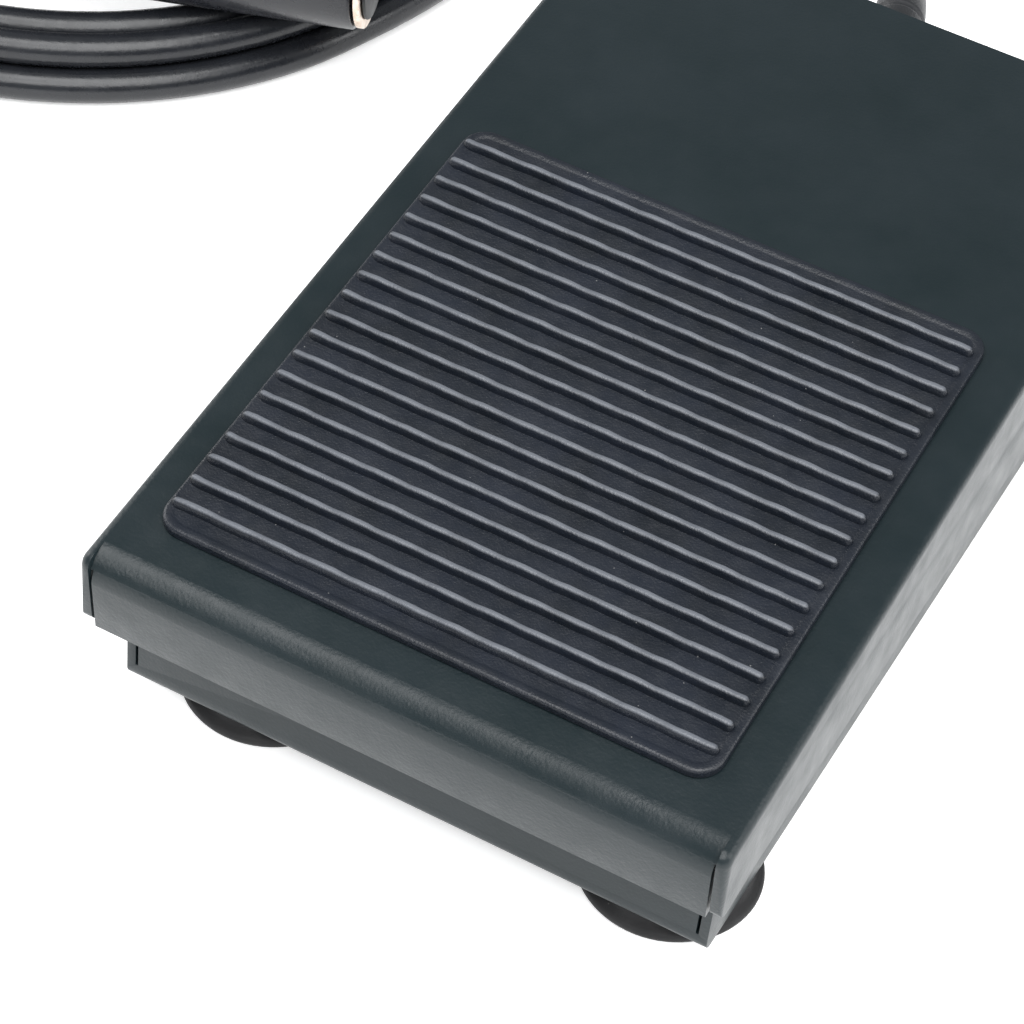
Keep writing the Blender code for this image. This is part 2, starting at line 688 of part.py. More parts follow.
def build_terminal(name, z, face):
    """A flat solder blade with a rounded end and an eye."""
    low = (SWITCH_X - 0.0016, face - 0.0017, z - 0.00025)
    high = (SWITCH_X + 0.0016, face + 0.0055, z + 0.00025)
    bm = box_mesh(low, high)
    corners = [
        e
        for e in bm.edges
        if all(v.co.y > face for v in e.verts) and abs(e.verts[0].co.z - e.verts[1].co.z) > 1e-6
    ]
    bmesh.ops.bevel(bm, geom=corners, offset=0.0011, segments=3, affect="EDGES", profile=0.5)
    blade = add_object(f"terminal_{name}", bm, brass(), smooth=False)
    eye = (SWITCH_X, face + 0.0035, z)
    cut(blade, cylinder_cutter(f"terminal_eye_{name}", 0.0006, 0.004, eye, "Z", segments=12))


def build_lever(pivot_at):
    """A thin steel lever that rises to the front, with a rolled knuckle on the pin."""
    hinge = pivot("lever_hinge", pivot_at)
    knuckle = turned_mesh([(0.0009, -0.0022), (0.0014, -0.0022), (0.0014, 0.0022), (0.0009, 0.0022)], 16)
    lever = put(add_object("switch_lever", knuckle, spring_steel()), pivot_at, (0, math.pi / 2, 0), hinge)
    plate = box_mesh(
        (-0.0022, -LEVER_LENGTH, 0.0008),
        (0.0022, -0.0006, 0.0008 + LEVER_SHEET),
    )
    strip = add_object("switch_lever_strip", plate, None)
    cut(lever, put(strip, pivot_at, (-LEVER_RISE, 0, 0), hinge), "UNION")
    return lever


def build_button(top):
    """The switch's plunger, guided in a well in the housing."""
    centre = (SWITCH_X, world_y(BUTTON_Y), top)
    slide = pivot("button_slide", centre)
    reach = (LEVER_PIVOT_Y - BUTTON_Y) * math.tan(LEVER_RISE)
    high = LEVER_PIVOT_Z + 0.0008 + reach - 0.0004
    bm = box_mesh((-0.0015, -0.0010, -0.0018), (0.0015, 0.0010, high - top), 0.0002)
    put(add_object("switch_button", bm, red_plastic(), smooth=False), centre, parent=slide)


def build_bracket(switch_low):
    """A folded steel angle: a foot on the tray floor and an upright beside the switch."""
    floor = TRAY_BOTTOM + TRAY_SHEET + GAP
    sheet = 0.0012
    face = switch_low.x - GAP
    bend = 0.0008
    turns = (0.4, 0.8, 1.2)
    outline = [
        (-0.0005, floor),
        (face - bend, floor),
        *[(face - bend + bend * math.sin(a), floor + bend - bend * math.cos(a)) for a in turns],
        (face, floor + bend),
        (face, 0.0200),
        (face - sheet, 0.0200),
        (face - sheet, floor + sheet),
        (-0.0005, floor + sheet),
    ]
    bm = prism_mesh(outline, 0, 0.0262)
    bmesh.ops.rotate(bm, verts=bm.verts, cent=(0, 0, 0), matrix=Matrix.Rotation(math.pi / 2, 3, "Z"))
    bmesh.ops.scale(bm, vec=(-1, 1, 1), verts=bm.verts)
    bracket = put(add_object("switch_bracket", bm, zinc_steel()), (0, world_y(0.0628), 0))
    for i, (x, y) in enumerate(BRACKET_HOLES):
        at = (x, world_y(y), floor)
        cut(bracket, cylinder_cutter(f"bracket_foot_hole_{i}", SCREW_RADIUS + GAP, 0.006, at, "Z"))
        name = ("front", "rear")[i]
        screw(f"bracket_screw_{name}", (x, world_y(y), floor + sheet + GAP), (0, 0, 0), 0.0032)
    for i, y in enumerate(SWITCH_HOLES_Y):
        at = (face - sheet / 2, world_y(y), SWITCH_HOLES_Z)
        cut(bracket, cylinder_cutter(f"bracket_switch_hole_{i}", SCREW_RADIUS + GAP, 0.006, at, "X"))
        name = ("front", "rear")[i]
        head = (switch_low.x + SWITCH_SIZE[0] + GAP, world_y(y), SWITCH_HOLES_Z)
        screw(f"switch_screw_{name}", head, (0, math.pi / 2, 0), 0.0155)
        nut = (face - sheet - GAP, world_y(y), SWITCH_HOLES_Z)
        hex_nut(f"switch_nut_{name}", nut, (0, -math.pi / 2, 0))


def build_actuator(hinge):
    """The post under the cover that pushes the switch's lever."""
    reach = LEVER_PIVOT_Y - ACTUATOR_Y
    lever_top = LEVER_PIVOT_Z + reach * math.tan(LEVER_RISE)
    tip = lever_top + (0.0008 + LEVER_SHEET) / math.cos(LEVER_RISE) + 0.0004
    top = under_cover(ACTUATOR_Y)
    profile = [(0, tip), (0.0012, tip + 0.0001), (0.0020, tip + 0.0004), (0.0024, tip + 0.0009)]
    profile += [(0.0024, top - 0.0015), (0.0040, top - 0.0013), (0.0040, top - 0.0009), (0, top - 0.0009)]
    bm = turned_mesh(profile, 20)
    for vert in bm.verts:
        if vert.co.z > top - 0.0011:
            vert.co.z = under_cover(ACTUATOR_Y + vert.co.y) - GAP * 1.1
    at = (SWITCH_X, world_y(ACTUATOR_Y), 0)
    put(add_object("actuator_post", bm, white_nylon()), at, parent=hinge)


def placed(points):
    """The world points of a route whose y is measured behind the cover's front face."""
    return [(x, world_y(y), z) for x, y, z in points]


def outside_route():
    """The cable from the rear wall to the coil: out of the boot, down to the floor and round to the coil."""
    return placed(
        [
            (-0.0040, 0.1088, 0.0180),
            (-0.0040, 0.1168, 0.0180),
            (-0.0047, 0.1258, 0.0178),
            (-0.0066, 0.1345, 0.0170),
            (-0.0106, 0.1442, 0.0146),
            (-0.0175, 0.1535, 0.0104),
            (-0.0270, 0.1606, 0.0059),
            (-0.0378, 0.1634, 0.0030),
            (-0.0482, 0.1607, 0.0022),
            (-0.0560, 0.1535, 0.0022),
            (-0.0606, 0.1454, 0.0022),
            (-0.0624, 0.1390, 0.0022),
        ]
    )


def inside_route():
    """The cable's end inside the tray, from the rear wall down to its clamp."""
    return placed(
        [
            (-0.0040, 0.1085, 0.0180),
            (-0.0041, 0.1015, 0.0179),
            (-0.0054, 0.0950, 0.0158),
            (-0.0078, 0.0880, 0.0110),
            (-0.0096, 0.0810, 0.0072),
            (-0.0100, 0.0740, 0.0067),
            (-0.0100, 0.0690, 0.0067),
        ]
    )


def boot_radius(distance):
    """The strain relief's outer radius along the cable: flange, shoulder, then a long taper."""
    share = min(max((distance - 0.0030) / 0.027, 0), 1)
    return 0.0042 - 0.0013 * share


def build_boot():
    """A moulded strain relief, bored for the cable, clipped in the rear wall and bent with the cable."""
    route = smooth_route(outside_route(), 0.0027)
    inside = [Vector((CORD_EXIT_X, world_y(TRAY_REAR) - d, CORD_EXIT_Z)) for d in (0.0030, 0.0014, 0.0013)]
    wall = world_y(TRAY_REAR)
    stations = [(inside[0], 0.0058), (inside[1], 0.0058), (inside[2], 0.0042)]
    stations += [(Vector((CORD_EXIT_X, wall + 0.0003, CORD_EXIT_Z)), 0.0042)]
    stations += [(Vector((CORD_EXIT_X, wall + 0.00031, CORD_EXIT_Z)), 0.0062)]
    stations += [(Vector((CORD_EXIT_X, wall + 0.0020, CORD_EXIT_Z)), 0.0060)]
    stations += [(Vector((CORD_EXIT_X, wall + 0.0025, CORD_EXIT_Z)), 0.0044)]
    tip = next(i for i, point in enumerate(route) if point.y > world_y(BOOT_TIP))
    for point in route[1:tip]:
        stations.append((point, boot_radius(point.y - wall)))
    return bored_sweep("strain_relief", stations, CORD_RADIUS + 0.00035, black_rubber())


def bored_sweep(name, stations, bore, surface, sides=16):
    """A tube wall swept along stations of (centre, outer radius), with a bore of one radius."""
    bm = bmesh.new()
    outer_rings = []
    inner_rings = []
    centres = [centre for centre, _ in stations]
    for i, (centre, radius) in enumerate(stations):
        ahead = centres[min(i + 1, len(centres) - 1)] - centres[max(i - 1, 0)]
        side = Vector((0, 0, 1)).cross(ahead).normalized()
        up = ahead.cross(side).normalized()
        ring = []
        hole = []
        for k in range(sides):
            angle = math.tau * k / sides
            reach = side * math.cos(angle) + up * math.sin(angle)
            ring.append(bm.verts.new(centre + reach * radius))
            hole.append(bm.verts.new(centre + reach * bore))
        outer_rings.append(ring)
        inner_rings.append(hole)
    for rings in (outer_rings, inner_rings):
        for a, b in zip(rings, rings[1:]):
            for k in range(sides):
                bm.faces.new((a[k], a[(k + 1) % sides], b[(k + 1) % sides], b[k]))
    for end in (0, -1):
        a, b = outer_rings[end], inner_rings[end]
        for k in range(sides):
            bm.faces.new((a[k], a[(k + 1) % sides], b[(k + 1) % sides], b[k]))
    return add_object(name, bm, surface)


def coil_outline():
    """The cross-section of the wound turns, three on the floor and two on top, as (radius, z)."""
    r = CORD_RADIUS
    floor_outer = (COIL_RADIUS, r)
    upper_outer = (COIL_RADIUS - COIL_STEP / 2, r + COIL_LAYER)
    upper_inner = (COIL_RADIUS - COIL_STEP * 1.5, r + COIL_LAYER)
    floor_inner = (COIL_RADIUS - COIL_STEP * 2, r)
    outline = arc(*floor_outer, r, -90, 30, 4)
    outline += arc(*upper_outer, r, 30, 90, 2)
    outline += arc(*upper_inner, r, 90, 150, 2)
    outline += arc(*floor_inner, r, 150, 270, 4)
    return outline


def plug_route():
    """The cable's last stretch: off the top of the coil, round outside it and into the plug's rear end."""
    return placed(
        [
            (-0.0857, 0.1643, 0.0103),
            (-0.0755, 0.1563, 0.0103),
            (-0.0675, 0.1483, 0.0101),
            (-0.0613, 0.1398, 0.0105),
            (-0.0565, 0.1305, 0.0117),
            (-0.0532, 0.1216, 0.0140),
            (-0.0524, 0.1179, 0.0150),
            (-0.0533, 0.1132, 0.0160),
            (-0.0560, 0.1093, 0.0164),
            (-0.0602, 0.1069, 0.0163),
        ]
    )


def build_cable():
    """The cable: its end inside the tray, the run to the coil, the coil and the end at the plug."""
    route = smooth_route(outside_route(), 0.0045)
    tube("cord_run", route, CORD_RADIUS, cable_jacket())
    tube("cord_inner_end", smooth_route(inside_route(), 0.0040), CORD_RADIUS, cable_jacket())
    coil = add_object("cord_coil", turned_mesh(coil_outline(), 44), cable_jacket())
    put(coil, (COIL_X, world_y(COIL_Y), 0))
    tube("cord_plug_end", smooth_route(plug_route(), 0.0050), CORD_RADIUS, cable_jacket())


def build_leads():
    """Two thin leads from the cable's end to the common and the normally open terminals."""
    start_y = world_y(0.0687)
    end_y = world_y(0.0955) + 0.0010
    for name, z, offset, colour in (
        ("signal_lead", 0.0120, 0.0009, red_plastic()),
        ("ground_lead", 0.0155, -0.0009, white_nylon()),
    ):
        points = [
            (-0.0100 + offset, start_y - GAP, 0.0067),
            (-0.0097 + offset * 2, start_y - 0.0040, 0.0068),
            (-0.0060 + offset * 2, start_y - 0.0075 + offset * 2, 0.0080 - offset),
            (-0.0010, start_y - 0.0030 + offset * 2, 0.0105 - offset * 2),
            (0.0020, start_y + 0.0080, 0.0122 - offset * 2),
            (0.0045 - offset, start_y + 0.0200, 0.0132 - offset),
            (0.0085 - offset, start_y + 0.0275 + 0.0010, z + 0.0001),
            (0.0128, end_y + 0.0012, z),
            (0.0137, end_y + 0.0012, z),
        ]
        tube(name, smooth_route(points, 0.0022), 0.0006, colour)


def build_clamp():
    """A saddle over the cable's end, screwed to the tray floor on both sides."""
    floor = TRAY_BOTTOM + TRAY_SHEET + GAP
    sheet = 0.0010
    inner = CORD_RADIUS + GAP
    middle = -0.0100
    height = 0.0067
    outer = inner + sheet
    over = [(middle + outer * math.cos(a), height + outer * math.sin(a)) for a in half_circle()]
    under = [(middle + inner * math.cos(a), height + inner * math.sin(a)) for a in half_circle()]
    left, right = middle - 0.0092, middle + 0.0092
    outline = [(right, floor), (right, floor + sheet), (over[0][0], floor + sheet), *over]
    outline += [(over[-1][0], floor + sheet), (left, floor + sheet), (left, floor)]
    outline += [(under[-1][0], floor), *reversed(under), (under[0][0], floor)]
    bm = bmesh.new()
    face = [bm.verts.new((x, 0, z)) for x, z in outline]
    bm.faces.new(face)
    made = bmesh.ops.extrude_face_region(bm, geom=bm.faces[:])
    far = [v for v in made["geom"] if isinstance(v, bmesh.types.BMVert)]
    bmesh.ops.translate(bm, verts=far, vec=(0, 0.006, 0))
    clamp = put(add_object("cord_clamp", bm, zinc_steel()), (0, world_y(0.0710), 0))
    for i, (x, y) in enumerate(CLAMP_HOLES):
        at = (x, world_y(y), floor)
        cut(clamp, cylinder_cutter(f"clamp_hole_{i}", SCREW_RADIUS + GAP, 0.006, at, "Z"))
        name = ("left", "right")[i]
        screw(f"clamp_screw_{name}", (x, world_y(y), floor + sheet + GAP), (0, 0, 0), 0.0030, 0.0024)


def half_circle(steps=8):
    return [math.pi * i / steps for i in range(steps + 1)]


def build_plug():
    """A quarter-inch plug on one axis, from the cable's rubber bushing to the tip."""
    along = (0, math.pi / 2 + PLUG_DIP, PLUG_TURN + math.pi)
    at = (PLUG_X, world_y(PLUG_Y), PLUG_Z)
    r = PLUG_RADIUS
    bushing = [(0, -0.0026), (0.0026, -0.0026), (0.0032, -0.0002), (0.0032, 0.0008), (0, 0.0008)]
    put(add_object("plug_bushing", turned_mesh(bushing, 20), black_rubber()), at, along)
    end_ring = [(0.0035, 0), (r - 0.0005, 0), (r - 0.0003, 0.0002), (r - 0.0003, 0.0008), (0.0035, 0.0008)]
    put(add_object("plug_end_ring", turned_mesh(end_ring, 24), brass()), at, along)
    low = 0.0008 + GAP
    high = low + PLUG_HANDLE
    handle = [
        (0, low),
        (r - 0.0004, low),
        (r, low + 0.0005),
        (r, high - 0.0150),
        (r - 0.0006, high - 0.0140),
        (r - 0.0006, high - 0.0030),
        (r - 0.0016, high),
        (0, high),
    ]
    put(add_object("plug_handle", turned_mesh(handle, 24), black_plastic()), at, along)
    low = high + GAP
    high = low + 0.0016
    collar = [(0, low), (0.0048, low), (0.0048, high - 0.0004), (0.0044, high), (0, high)]
    put(add_object("plug_collar", turned_mesh(collar, 24), nickel()), at, along)
    j = JACK_RADIUS
    low = high + GAP
    end = low + JACK_LENGTH
    high = low + 0.0195
    sleeve = [(0, low), (j, low), (j, high), (0, high)]
    put(add_object("plug_sleeve", turned_mesh(sleeve, 20), nickel()), at, along)
    low = high + GAP
    high = low + 0.0012
    band = [(0, low), (j * 0.97, low), (j * 0.97, high), (0, high)]
    put(add_object("plug_insulator", turned_mesh(band, 20), black_plastic()), at, along)
    low = high + GAP
    nose = [
        (0, low),
        (j, low),
        (j, low + 0.0018),
        (j * 0.62, low + 0.0036),
        (j * 0.66, low + 0.0042),
        (j * 0.98, low + 0.0062),
        (j * 0.80, end - 0.0014),
        (j * 0.36, end - 0.0002),
        (0, end),
    ]
    put(add_object("plug_tip", turned_mesh(nose, 20), nickel()), at, along)


def main():
    clear_scene()
    hinge = pivot("cover_hinge", (0, world_y(HINGE_Y), HINGE_Z))
    build_cover(hinge)
    build_pad(hinge)
    build_tray()
    build_feet()
    build_hinge()
    build_stops()
    build_spring(hinge)
    build_switch()
    build_actuator(hinge)
    build_boot()
    build_cable()
    build_leads()
    build_clamp()
    build_plug()


main()
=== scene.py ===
import json
import math

import bmesh
import bpy
from mathutils import Matrix, Vector


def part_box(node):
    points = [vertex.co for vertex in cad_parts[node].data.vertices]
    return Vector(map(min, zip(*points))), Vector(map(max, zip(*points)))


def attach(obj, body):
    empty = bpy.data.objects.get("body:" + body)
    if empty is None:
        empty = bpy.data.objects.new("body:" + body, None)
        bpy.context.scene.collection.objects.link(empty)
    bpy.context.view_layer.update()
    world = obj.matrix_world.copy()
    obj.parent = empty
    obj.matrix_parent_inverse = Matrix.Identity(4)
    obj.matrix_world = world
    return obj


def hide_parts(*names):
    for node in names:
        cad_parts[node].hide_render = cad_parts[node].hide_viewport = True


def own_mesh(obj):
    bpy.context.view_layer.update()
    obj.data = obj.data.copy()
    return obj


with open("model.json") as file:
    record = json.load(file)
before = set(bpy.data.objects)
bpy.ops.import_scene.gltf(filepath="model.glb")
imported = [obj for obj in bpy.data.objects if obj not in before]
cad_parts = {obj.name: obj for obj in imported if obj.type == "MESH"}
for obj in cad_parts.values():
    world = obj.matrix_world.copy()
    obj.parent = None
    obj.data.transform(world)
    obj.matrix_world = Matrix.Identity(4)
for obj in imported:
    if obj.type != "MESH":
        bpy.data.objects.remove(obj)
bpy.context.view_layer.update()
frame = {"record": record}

# Sizes of the CAD model that its pieces repeat, in metres; y is measured behind the cover's front face
WIDTH = 0.070
LENGTH = 0.111
SLOPE = math.radians(5.85)
FRONT_HEIGHT = 0.0237
GAP = 0.0003
CUT_PAST = 0.002
CUT_FAR_PAST = 0.01
OFF_PLANE = 0.00002
COVER_SHEET = 0.0012
FRONT_BEND = 0.0035
SIDE_BEND = 0.0011
FRONT_FLANGE = 0.0097
FLANGE_DEPTH = 0.030
SIDE_FLANGE_BOTTOM = 0.0150
SEAM = 0.0003
SEAM_TOP = -0.0016
SIDE_CORNER = 0.0015
NOSE_DROP = 0.0010
NOSE_LENGTH = 0.0080
NOSE_RADIUS = 0.0018
SEAM_DEPTH = FRONT_BEND - 0.0008
COVER_EDGE = 0.00022
PAD_LEFT = -0.0308
PAD_RIGHT = 0.0298
PAD_FRONT = 0.0068
PAD_REAR = 0.0707
PAD_BASE = 0.0008
PAD_CORNER = 0.0028
RIBS = 19
RIB_WIDTH = 0.0012
RIB_HEIGHT = 0.0007
RIB_MARGIN_LEFT = 0.0004
RIB_MARGIN_RIGHT = 0.0009
TRAY_SHEET = 0.0010
TRAY_HALF_WIDTH = 0.03275
TRAY_BOTTOM = 0.0030
TRAY_FRONT = 0.0056
TRAY_REAR = 0.1085
TRAY_BEND = 0.0013
TRAY_EDGE = 0.00018
TRAY_FRONT_TOP = 0.0146
TRAY_SIDE_TOP_FRONT = 0.0155
TRAY_SIDE_TOP_REAR = 0.0314
ABOVE_TRAY = 0.05
TRAY_SEAM_START = 0.0022
HINGE_Y = 0.097
HINGE_Z = 0.024
AXLE_RADIUS = 0.0015
FOOT_RADIUS = 0.0095
FOOT_ROWS_Y = (0.0152, 0.0965)
FOOT_COLUMNS_X = (-0.0214, 0.0244)
SPRING_Y = 0.045
SPRING_RADIUS = 0.0050
SPRING_WIRE = 0.0012
SPRING_BOTTOM = 0.0058
SPRING_TOP = 0.0240
SPRING_TURNS = 7
SCREW_RADIUS = 0.0015
THREAD_PITCH = 0.0005
RECESS_HALF_LENGTH = 0.0015
RECESS_HALF_WIDTH = 0.00027
CORD_RADIUS = 0.0021
CORD_EXIT_X = -0.004
CORD_EXIT_Z = 0.018
BOOT_TIP = 0.1395
COIL_X = -0.1192
COIL_Y = 0.1275
PLUG_AT = (-0.0635, 0.1059, 0.0161)
PLUG_TURN = math.radians(17.3)
PLUG_DIP = math.radians(3.15)
PLUG_RADIUS = 0.0070
PLUG_HANDLE = 0.0440
JACK_RADIUS = 0.00317
JACK_LENGTH = 0.0305
JACK_SLEEVE = 0.0195
BOOT_TAPER_START = 0.0030
BOOT_TAPER = 0.027
BOOT_ROOT_RADIUS = 0.0042
BOOT_TIP_RADIUS_LOSS = 0.0013
BOOT_GROOVES = 6
BOOT_GROOVES_START = 0.0062
BOOT_GROOVES_END = 0.0262
BOOT_GROOVE_DEPTH = 0.00055
BOOT_GROOVE_SHARE = 0.30
BOOT_PLAY = 0.00035
# Distance from the rear wall, and radius, of the strain relief's clip inside and flange outside
BOOT_CLIP = ((0.0030, 0.0052), (0.0028, 0.0057), (0.0015, 0.0058), (0.00135, 0.0056), (0.0013, 0.0042))
BOOT_FLANGE = (
    (0.0003, 0.0042),
    (0.00032, 0.0060),
    (0.0005, 0.0062),
    (0.0018, 0.0061),
    (0.0021, 0.0058),
    (0.0023, 0.0046),
)
TRAY_SCREW_HOLES = ((0, 0.045), (0.0050, 0.0700), (0.0050, 0.0820), (-0.0163, 0.0740), (-0.0037, 0.0740))
Y_FRONT = -(LENGTH + FRONT_BEND * (math.cos(SLOPE) + math.sin(SLOPE) - 1)) / 2


def world_y(y):
    return Y_FRONT + y


COVER_PLACE = Matrix.Translation((0, world_y(0), FRONT_HEIGHT)) @ Matrix.Rotation(SLOPE, 4, "X")


# ---------------------------------------------------------------- camera

CAMERA_TARGET = (-0.01234, 0.05022 - 0.05567, 0)
CAMERA_DISTANCE = 0.37213
CAMERA_AZIMUTH = math.radians(23.67)
CAMERA_ELEVATION = math.radians(45.06)
CAMERA_ROLL = math.radians(6.93)
CAMERA_LENS = 120.80


def make_camera():
    back = Vector(
        (
            math.sin(CAMERA_AZIMUTH) * math.cos(CAMERA_ELEVATION),
            -math.cos(CAMERA_AZIMUTH) * math.cos(CAMERA_ELEVATION),
            math.sin(CAMERA_ELEVATION),
        )
    )
    level = Vector((math.cos(CAMERA_AZIMUTH), math.sin(CAMERA_AZIMUTH), 0))
    right = Matrix.Rotation(CAMERA_ROLL, 3, back) @ level
    up = back.cross(right)
    data = bpy.data.cameras.new("photo_camera")
    data.lens = CAMERA_LENS
    data.sensor_width = 36
    data.clip_start = 0.01
    camera = bpy.data.objects.new("photo_camera", data)
    turn = Matrix((right, up, back)).transposed().to_4x4()
    camera.matrix_world = Matrix.Translation(Vector(CAMERA_TARGET) + CAMERA_DISTANCE * back) @ turn
    bpy.context.scene.collection.objects.link(camera)
    bpy.context.scene.camera = camera


make_camera()


# ---------------------------------------------------------------- surfaces


def add_node(tree, kind, at, **values):
    node = tree.nodes.new(kind)
    node.location = at
    for key, value in values.items():
        setattr(node, key, value)
    return node


def noise(tree, coordinates, scale, detail, at, roughness=0.55):
    node = add_node(tree, "ShaderNodeTexNoise", at)
    node.inputs["Scale"].default_value = scale
    node.inputs["Detail"].default_value = detail
    node.inputs["Roughness"].default_value = roughness
    tree.links.new(coordinates, node.inputs["Vector"])
    return node.outputs["Fac"]


def remap(tree, value, low, high, to_low, to_high, at):
    node = add_node(tree, "ShaderNodeMapRange", at)
    for name, number in (("From Min", low), ("From Max", high), ("To Min", to_low), ("To Max", to_high)):
        node.inputs[name].default_value = number
    tree.links.new(value, node.inputs["Value"])
    return node.outputs["Result"]


def blend_colours(tree, share, first, second, at):
    """A mix of two colours; each is a colour or another node's output."""
    node = add_node(tree, "ShaderNodeMix", at, data_type="RGBA")
    tree.links.new(share, node.inputs["Factor"])
    for socket, colour in ((node.inputs[6], first), (node.inputs[7], second)):
        if isinstance(colour, bpy.types.NodeSocket):
            tree.links.new(colour, socket)
        else:
            socket.default_value = (*colour, 1)
    return node.outputs[2]


def scaled(colour, factor):
    return tuple(min(1, c * factor) for c in colour)


def make_surface(
    name,
    colour,
    roughness,
    metallic=0.0,
    ior=1.5,
    tint=None,
    patch=(180, 0.15),
    rough_patch=(350, 0.06),
    bumps=((1500, 0.00002),),
    stretch=(1, 1, 1),
    dust=None,
):
    """A Principled material: mottled colour, uneven gloss, layered bumps and, for some, specks of dust.

    Each bump is (scale per metre, height in metres); dust is (scale, size share, colour).
    """
    made = bpy.data.materials.new(name)
    made.use_nodes = True
    tree = made.node_tree
    shader = tree.nodes["Principled BSDF"]
    shader.inputs["Metallic"].default_value = metallic
    shader.inputs["IOR"].default_value = ior
    place = add_node(tree, "ShaderNodeTexCoord", (-1400, 0)).outputs["Object"]
    long_way = add_node(tree, "ShaderNodeMapping", (-1200, 0))
    long_way.inputs["Scale"].default_value = stretch
    tree.links.new(place, long_way.inputs["Vector"])
    along = long_way.outputs["Vector"]

    tone = noise(tree, along, patch[0], 4, (-1000, 200))
    spread = remap(tree, tone, 0.3, 0.7, 0, 1, (-800, 200))
    low = scaled(colour, 1 - patch[1])
    high = scaled(tint or colour, 1 + patch[1])
    base = blend_colours(tree, spread, low, high, (-600, 200))
    if dust:
        cells = add_node(tree, "ShaderNodeTexVoronoi", (-1000, 450))
        cells.inputs["Scale"].default_value = dust[0]
        tree.links.new(place, cells.inputs["Vector"])
        specks = remap(tree, cells.outputs["Distance"], dust[1] * 0.6, dust[1], 1, 0, (-800, 450))
        base = blend_colours(tree, specks, base, dust[2], (-400, 300))
    tree.links.new(base, shader.inputs["Base Color"])

    gloss = noise(tree, along, rough_patch[0], 3, (-1000, -50))
    rough_low = max(0.03, roughness - rough_patch[1])
    rough = remap(tree, gloss, 0.3, 0.7, rough_low, roughness + rough_patch[1], (-800, -50))
    tree.links.new(rough, shader.inputs["Roughness"])

    normal = None
    for i, (scale, height) in enumerate(bumps):
        waves = noise(tree, along, scale, 2, (-1000, -300 - 220 * i), 0.5)
        bump = add_node(tree, "ShaderNodeBump", (-600 + 200 * i, -300))
        bump.inputs["Strength"].default_value = 1.0
        bump.inputs["Distance"].default_value = height
        tree.links.new(waves, bump.inputs["Height"])
        if normal:
            tree.links.new(normal, bump.inputs["Normal"])
        normal = bump.outputs["Normal"]
    if normal:
        tree.links.new(normal, shader.inputs["Normal"])
    return made


def make_tread_rubber():
    """Moulded rubber whose rib crests carry a painted highlight, a little paler than the grooves."""
    made = make_surface(
        "tread_rubber",
        (0.0048, 0.0076, 0.0125),
        0.40,
        tint=(0.0072, 0.0098, 0.0160),
        patch=(140, 0.22),
        rough_patch=(500, 0.08),
        bumps=((4200, 0.000055), (1300, 0.00003)),
        dust=(420, 0.035, (0.16, 0.16, 0.16)),
    )
    tree = made.node_tree
    shader = tree.nodes["Principled BSDF"]
    under = shader.inputs["Base Color"].links[0].from_socket
    up = Vector((0, -math.sin(SLOPE), math.cos(SLOPE)))
    level = up.dot(Vector((0, world_y(0), FRONT_HEIGHT))) + GAP + PAD_BASE
    place = add_node(tree, "ShaderNodeTexCoord", (-1400, 700)).outputs["Object"]
    dot = add_node(tree, "ShaderNodeVectorMath", (-1200, 700), operation="DOT_PRODUCT")
    dot.inputs[1].default_value = up
    tree.links.new(place, dot.inputs[0])
    flank, peak = level + RIB_HEIGHT * 0.72, level + RIB_HEIGHT
    # painted highlight: colour mixed towards pale grey with height on the rib crests, standing in for the
    # light along them
    crest = remap(tree, dot.outputs["Value"], flank, peak, 0, 0.85, (-1000, 700))
    painted_crest_highlight = blend_colours(tree, crest, under, (0.130, 0.140, 0.160), (-200, 500))
    tree.links.new(painted_crest_highlight, shader.inputs["Base Color"])
    return made


